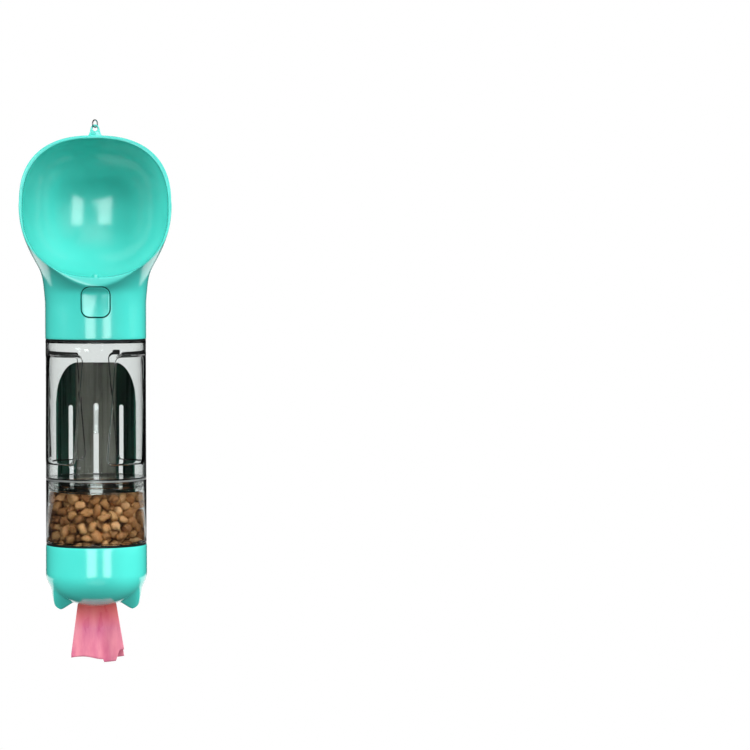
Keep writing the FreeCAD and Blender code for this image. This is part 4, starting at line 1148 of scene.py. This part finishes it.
backdrop_plane("floor", 3.0, 2.4, (0, 2.0, -0.75), False)
backdrop_plane("backdrop", 0.42, 0.50, (0, 0.9, -0.34), True)

world = bpy.data.worlds.new("studio")
bpy.context.scene.world = world
world.use_nodes = True
nodes, links = world.node_tree.nodes, world.node_tree.links
background = nodes["Background"]
rays = nodes.new("ShaderNodeLightPath")
tone = nodes.new("ShaderNodeMix")
tone.data_type = "RGBA"
tone.inputs["A"].default_value = (0.02, 0.02, 0.02, 1)
tone.inputs["B"].default_value = (1, 1, 1, 1)
links.new(rays.outputs["Is Camera Ray"], tone.inputs["Factor"])
links.new(tone.outputs["Result"], background.inputs["Color"])
background.inputs["Strength"].default_value = 1.0

# %% Strips and panels
LAMP_REACH = 2.1


def soft_light(name, azimuth, rise, width, height, middle_z, watts, glossy=False):
    """An area lamp that faces the object; azimuth counts from the front towards +X."""
    lamp = bpy.data.lights.new(name, "AREA")
    lamp.shape, lamp.size, lamp.size_y, lamp.energy = "RECTANGLE", width, height, watts
    light = in_scene(name, lamp)
    turn, lift = radians(azimuth), radians(rise)
    flat = cos(lift)
    way = Vector((sin(turn) * flat, -cos(turn) * flat, sin(lift)))
    light.location = Vector((0, 0, middle_z)) + way * LAMP_REACH
    light.rotation_euler = (-way).to_track_quat("-Z", "Y").to_euler()
    light.visible_camera = False
    light.visible_glossy = glossy
    return light


def gathered(name, *pieces):
    """A collection for a lamp to be linked to."""
    group = bpy.data.collections.new(name)
    for piece in pieces:
        group.objects.link(piece)
    return group


clear_pieces = gathered("clear_pieces", bottle, rail, spigot_thread, cup)
for child in clear_pieces.collection_objects:
    child.light_linking.link_state = "EXCLUDE"
for name, azimuth, width, watts, roll in (("left_box", -13.2, 0.80, 10.5, 8),
                                          ("right_box", 27.0, 0.66, 9.0, -12)):
    strip = soft_light(name, azimuth, 0, width, 1.59, 0.112, watts, glossy=True)
    strip.light_linking.receiver_collection = clear_pieces
    strip.rotation_euler.rotate_axis("Z", radians(roll))
    strip.visible_diffuse = False
inside_fill = soft_light("inside_fill", 6, 25, 1.6, 0.9, -0.25, 60.0)
inside_pieces = gathered("inside_pieces", bottle, rail, spigot_thread, cup)
inside_fill.light_linking.receiver_collection = inside_pieces
soft_light("front_panel", 0, 35, 1.4, 1.0, -0.1, 24.0)
soft_light("high_panel", 0, 58, 1.4, 1.0, -0.1, 21.0)
soft_light("right_panel", 50, 22, 1.0, 1.4, -0.1, 19.0)
low_panel = soft_light("low_panel", 0, -35, 1.4, 1.0, -0.3, 25.0)
low_panel.light_linking.receiver_collection = gathered("low_pieces", box, tail)
for name, azimuth, rise, watts in (("left_side_panel", -80, 18, 46),
                                   ("right_side_panel", 95, 13, 52)):
    soft_light(name, azimuth, rise, 1.0, 1.4, -0.1, watts).visible_transmission = False

# %% Camera
# Straight in front at the height of the bowl, turned so that the object stands left of the
# middle of the frame, as in the photograph.
EYE_LEVEL, CAMERA_BACK = (48.8 - SEAM_DROP) / 1000, 1.8585
FOCAL, FRAME_WIDE, RIGHT_OF_AXIS, BELOW_EYE = 2950, 750, 279.3, 114.2
camera = in_scene("camera", bpy.data.cameras.new("camera"))
camera.data.sensor_width = 36
camera.data.lens = 36 * FOCAL / FRAME_WIDE
camera.location = (0, AXIS_BACK / 1000 - CAMERA_BACK, EYE_LEVEL)
pan, tilt = atan(RIGHT_OF_AXIS / FOCAL), atan(BELOW_EYE / FOCAL)
aim = Vector((sin(pan) * cos(tilt), cos(pan) * cos(tilt), -sin(tilt)))
camera.rotation_euler = aim.to_track_quat("-Z", "Y").to_euler()
camera.data.clip_start = 0.05
bpy.context.scene.camera = camera
bpy.context.scene.view_settings.view_transform = "Standard"
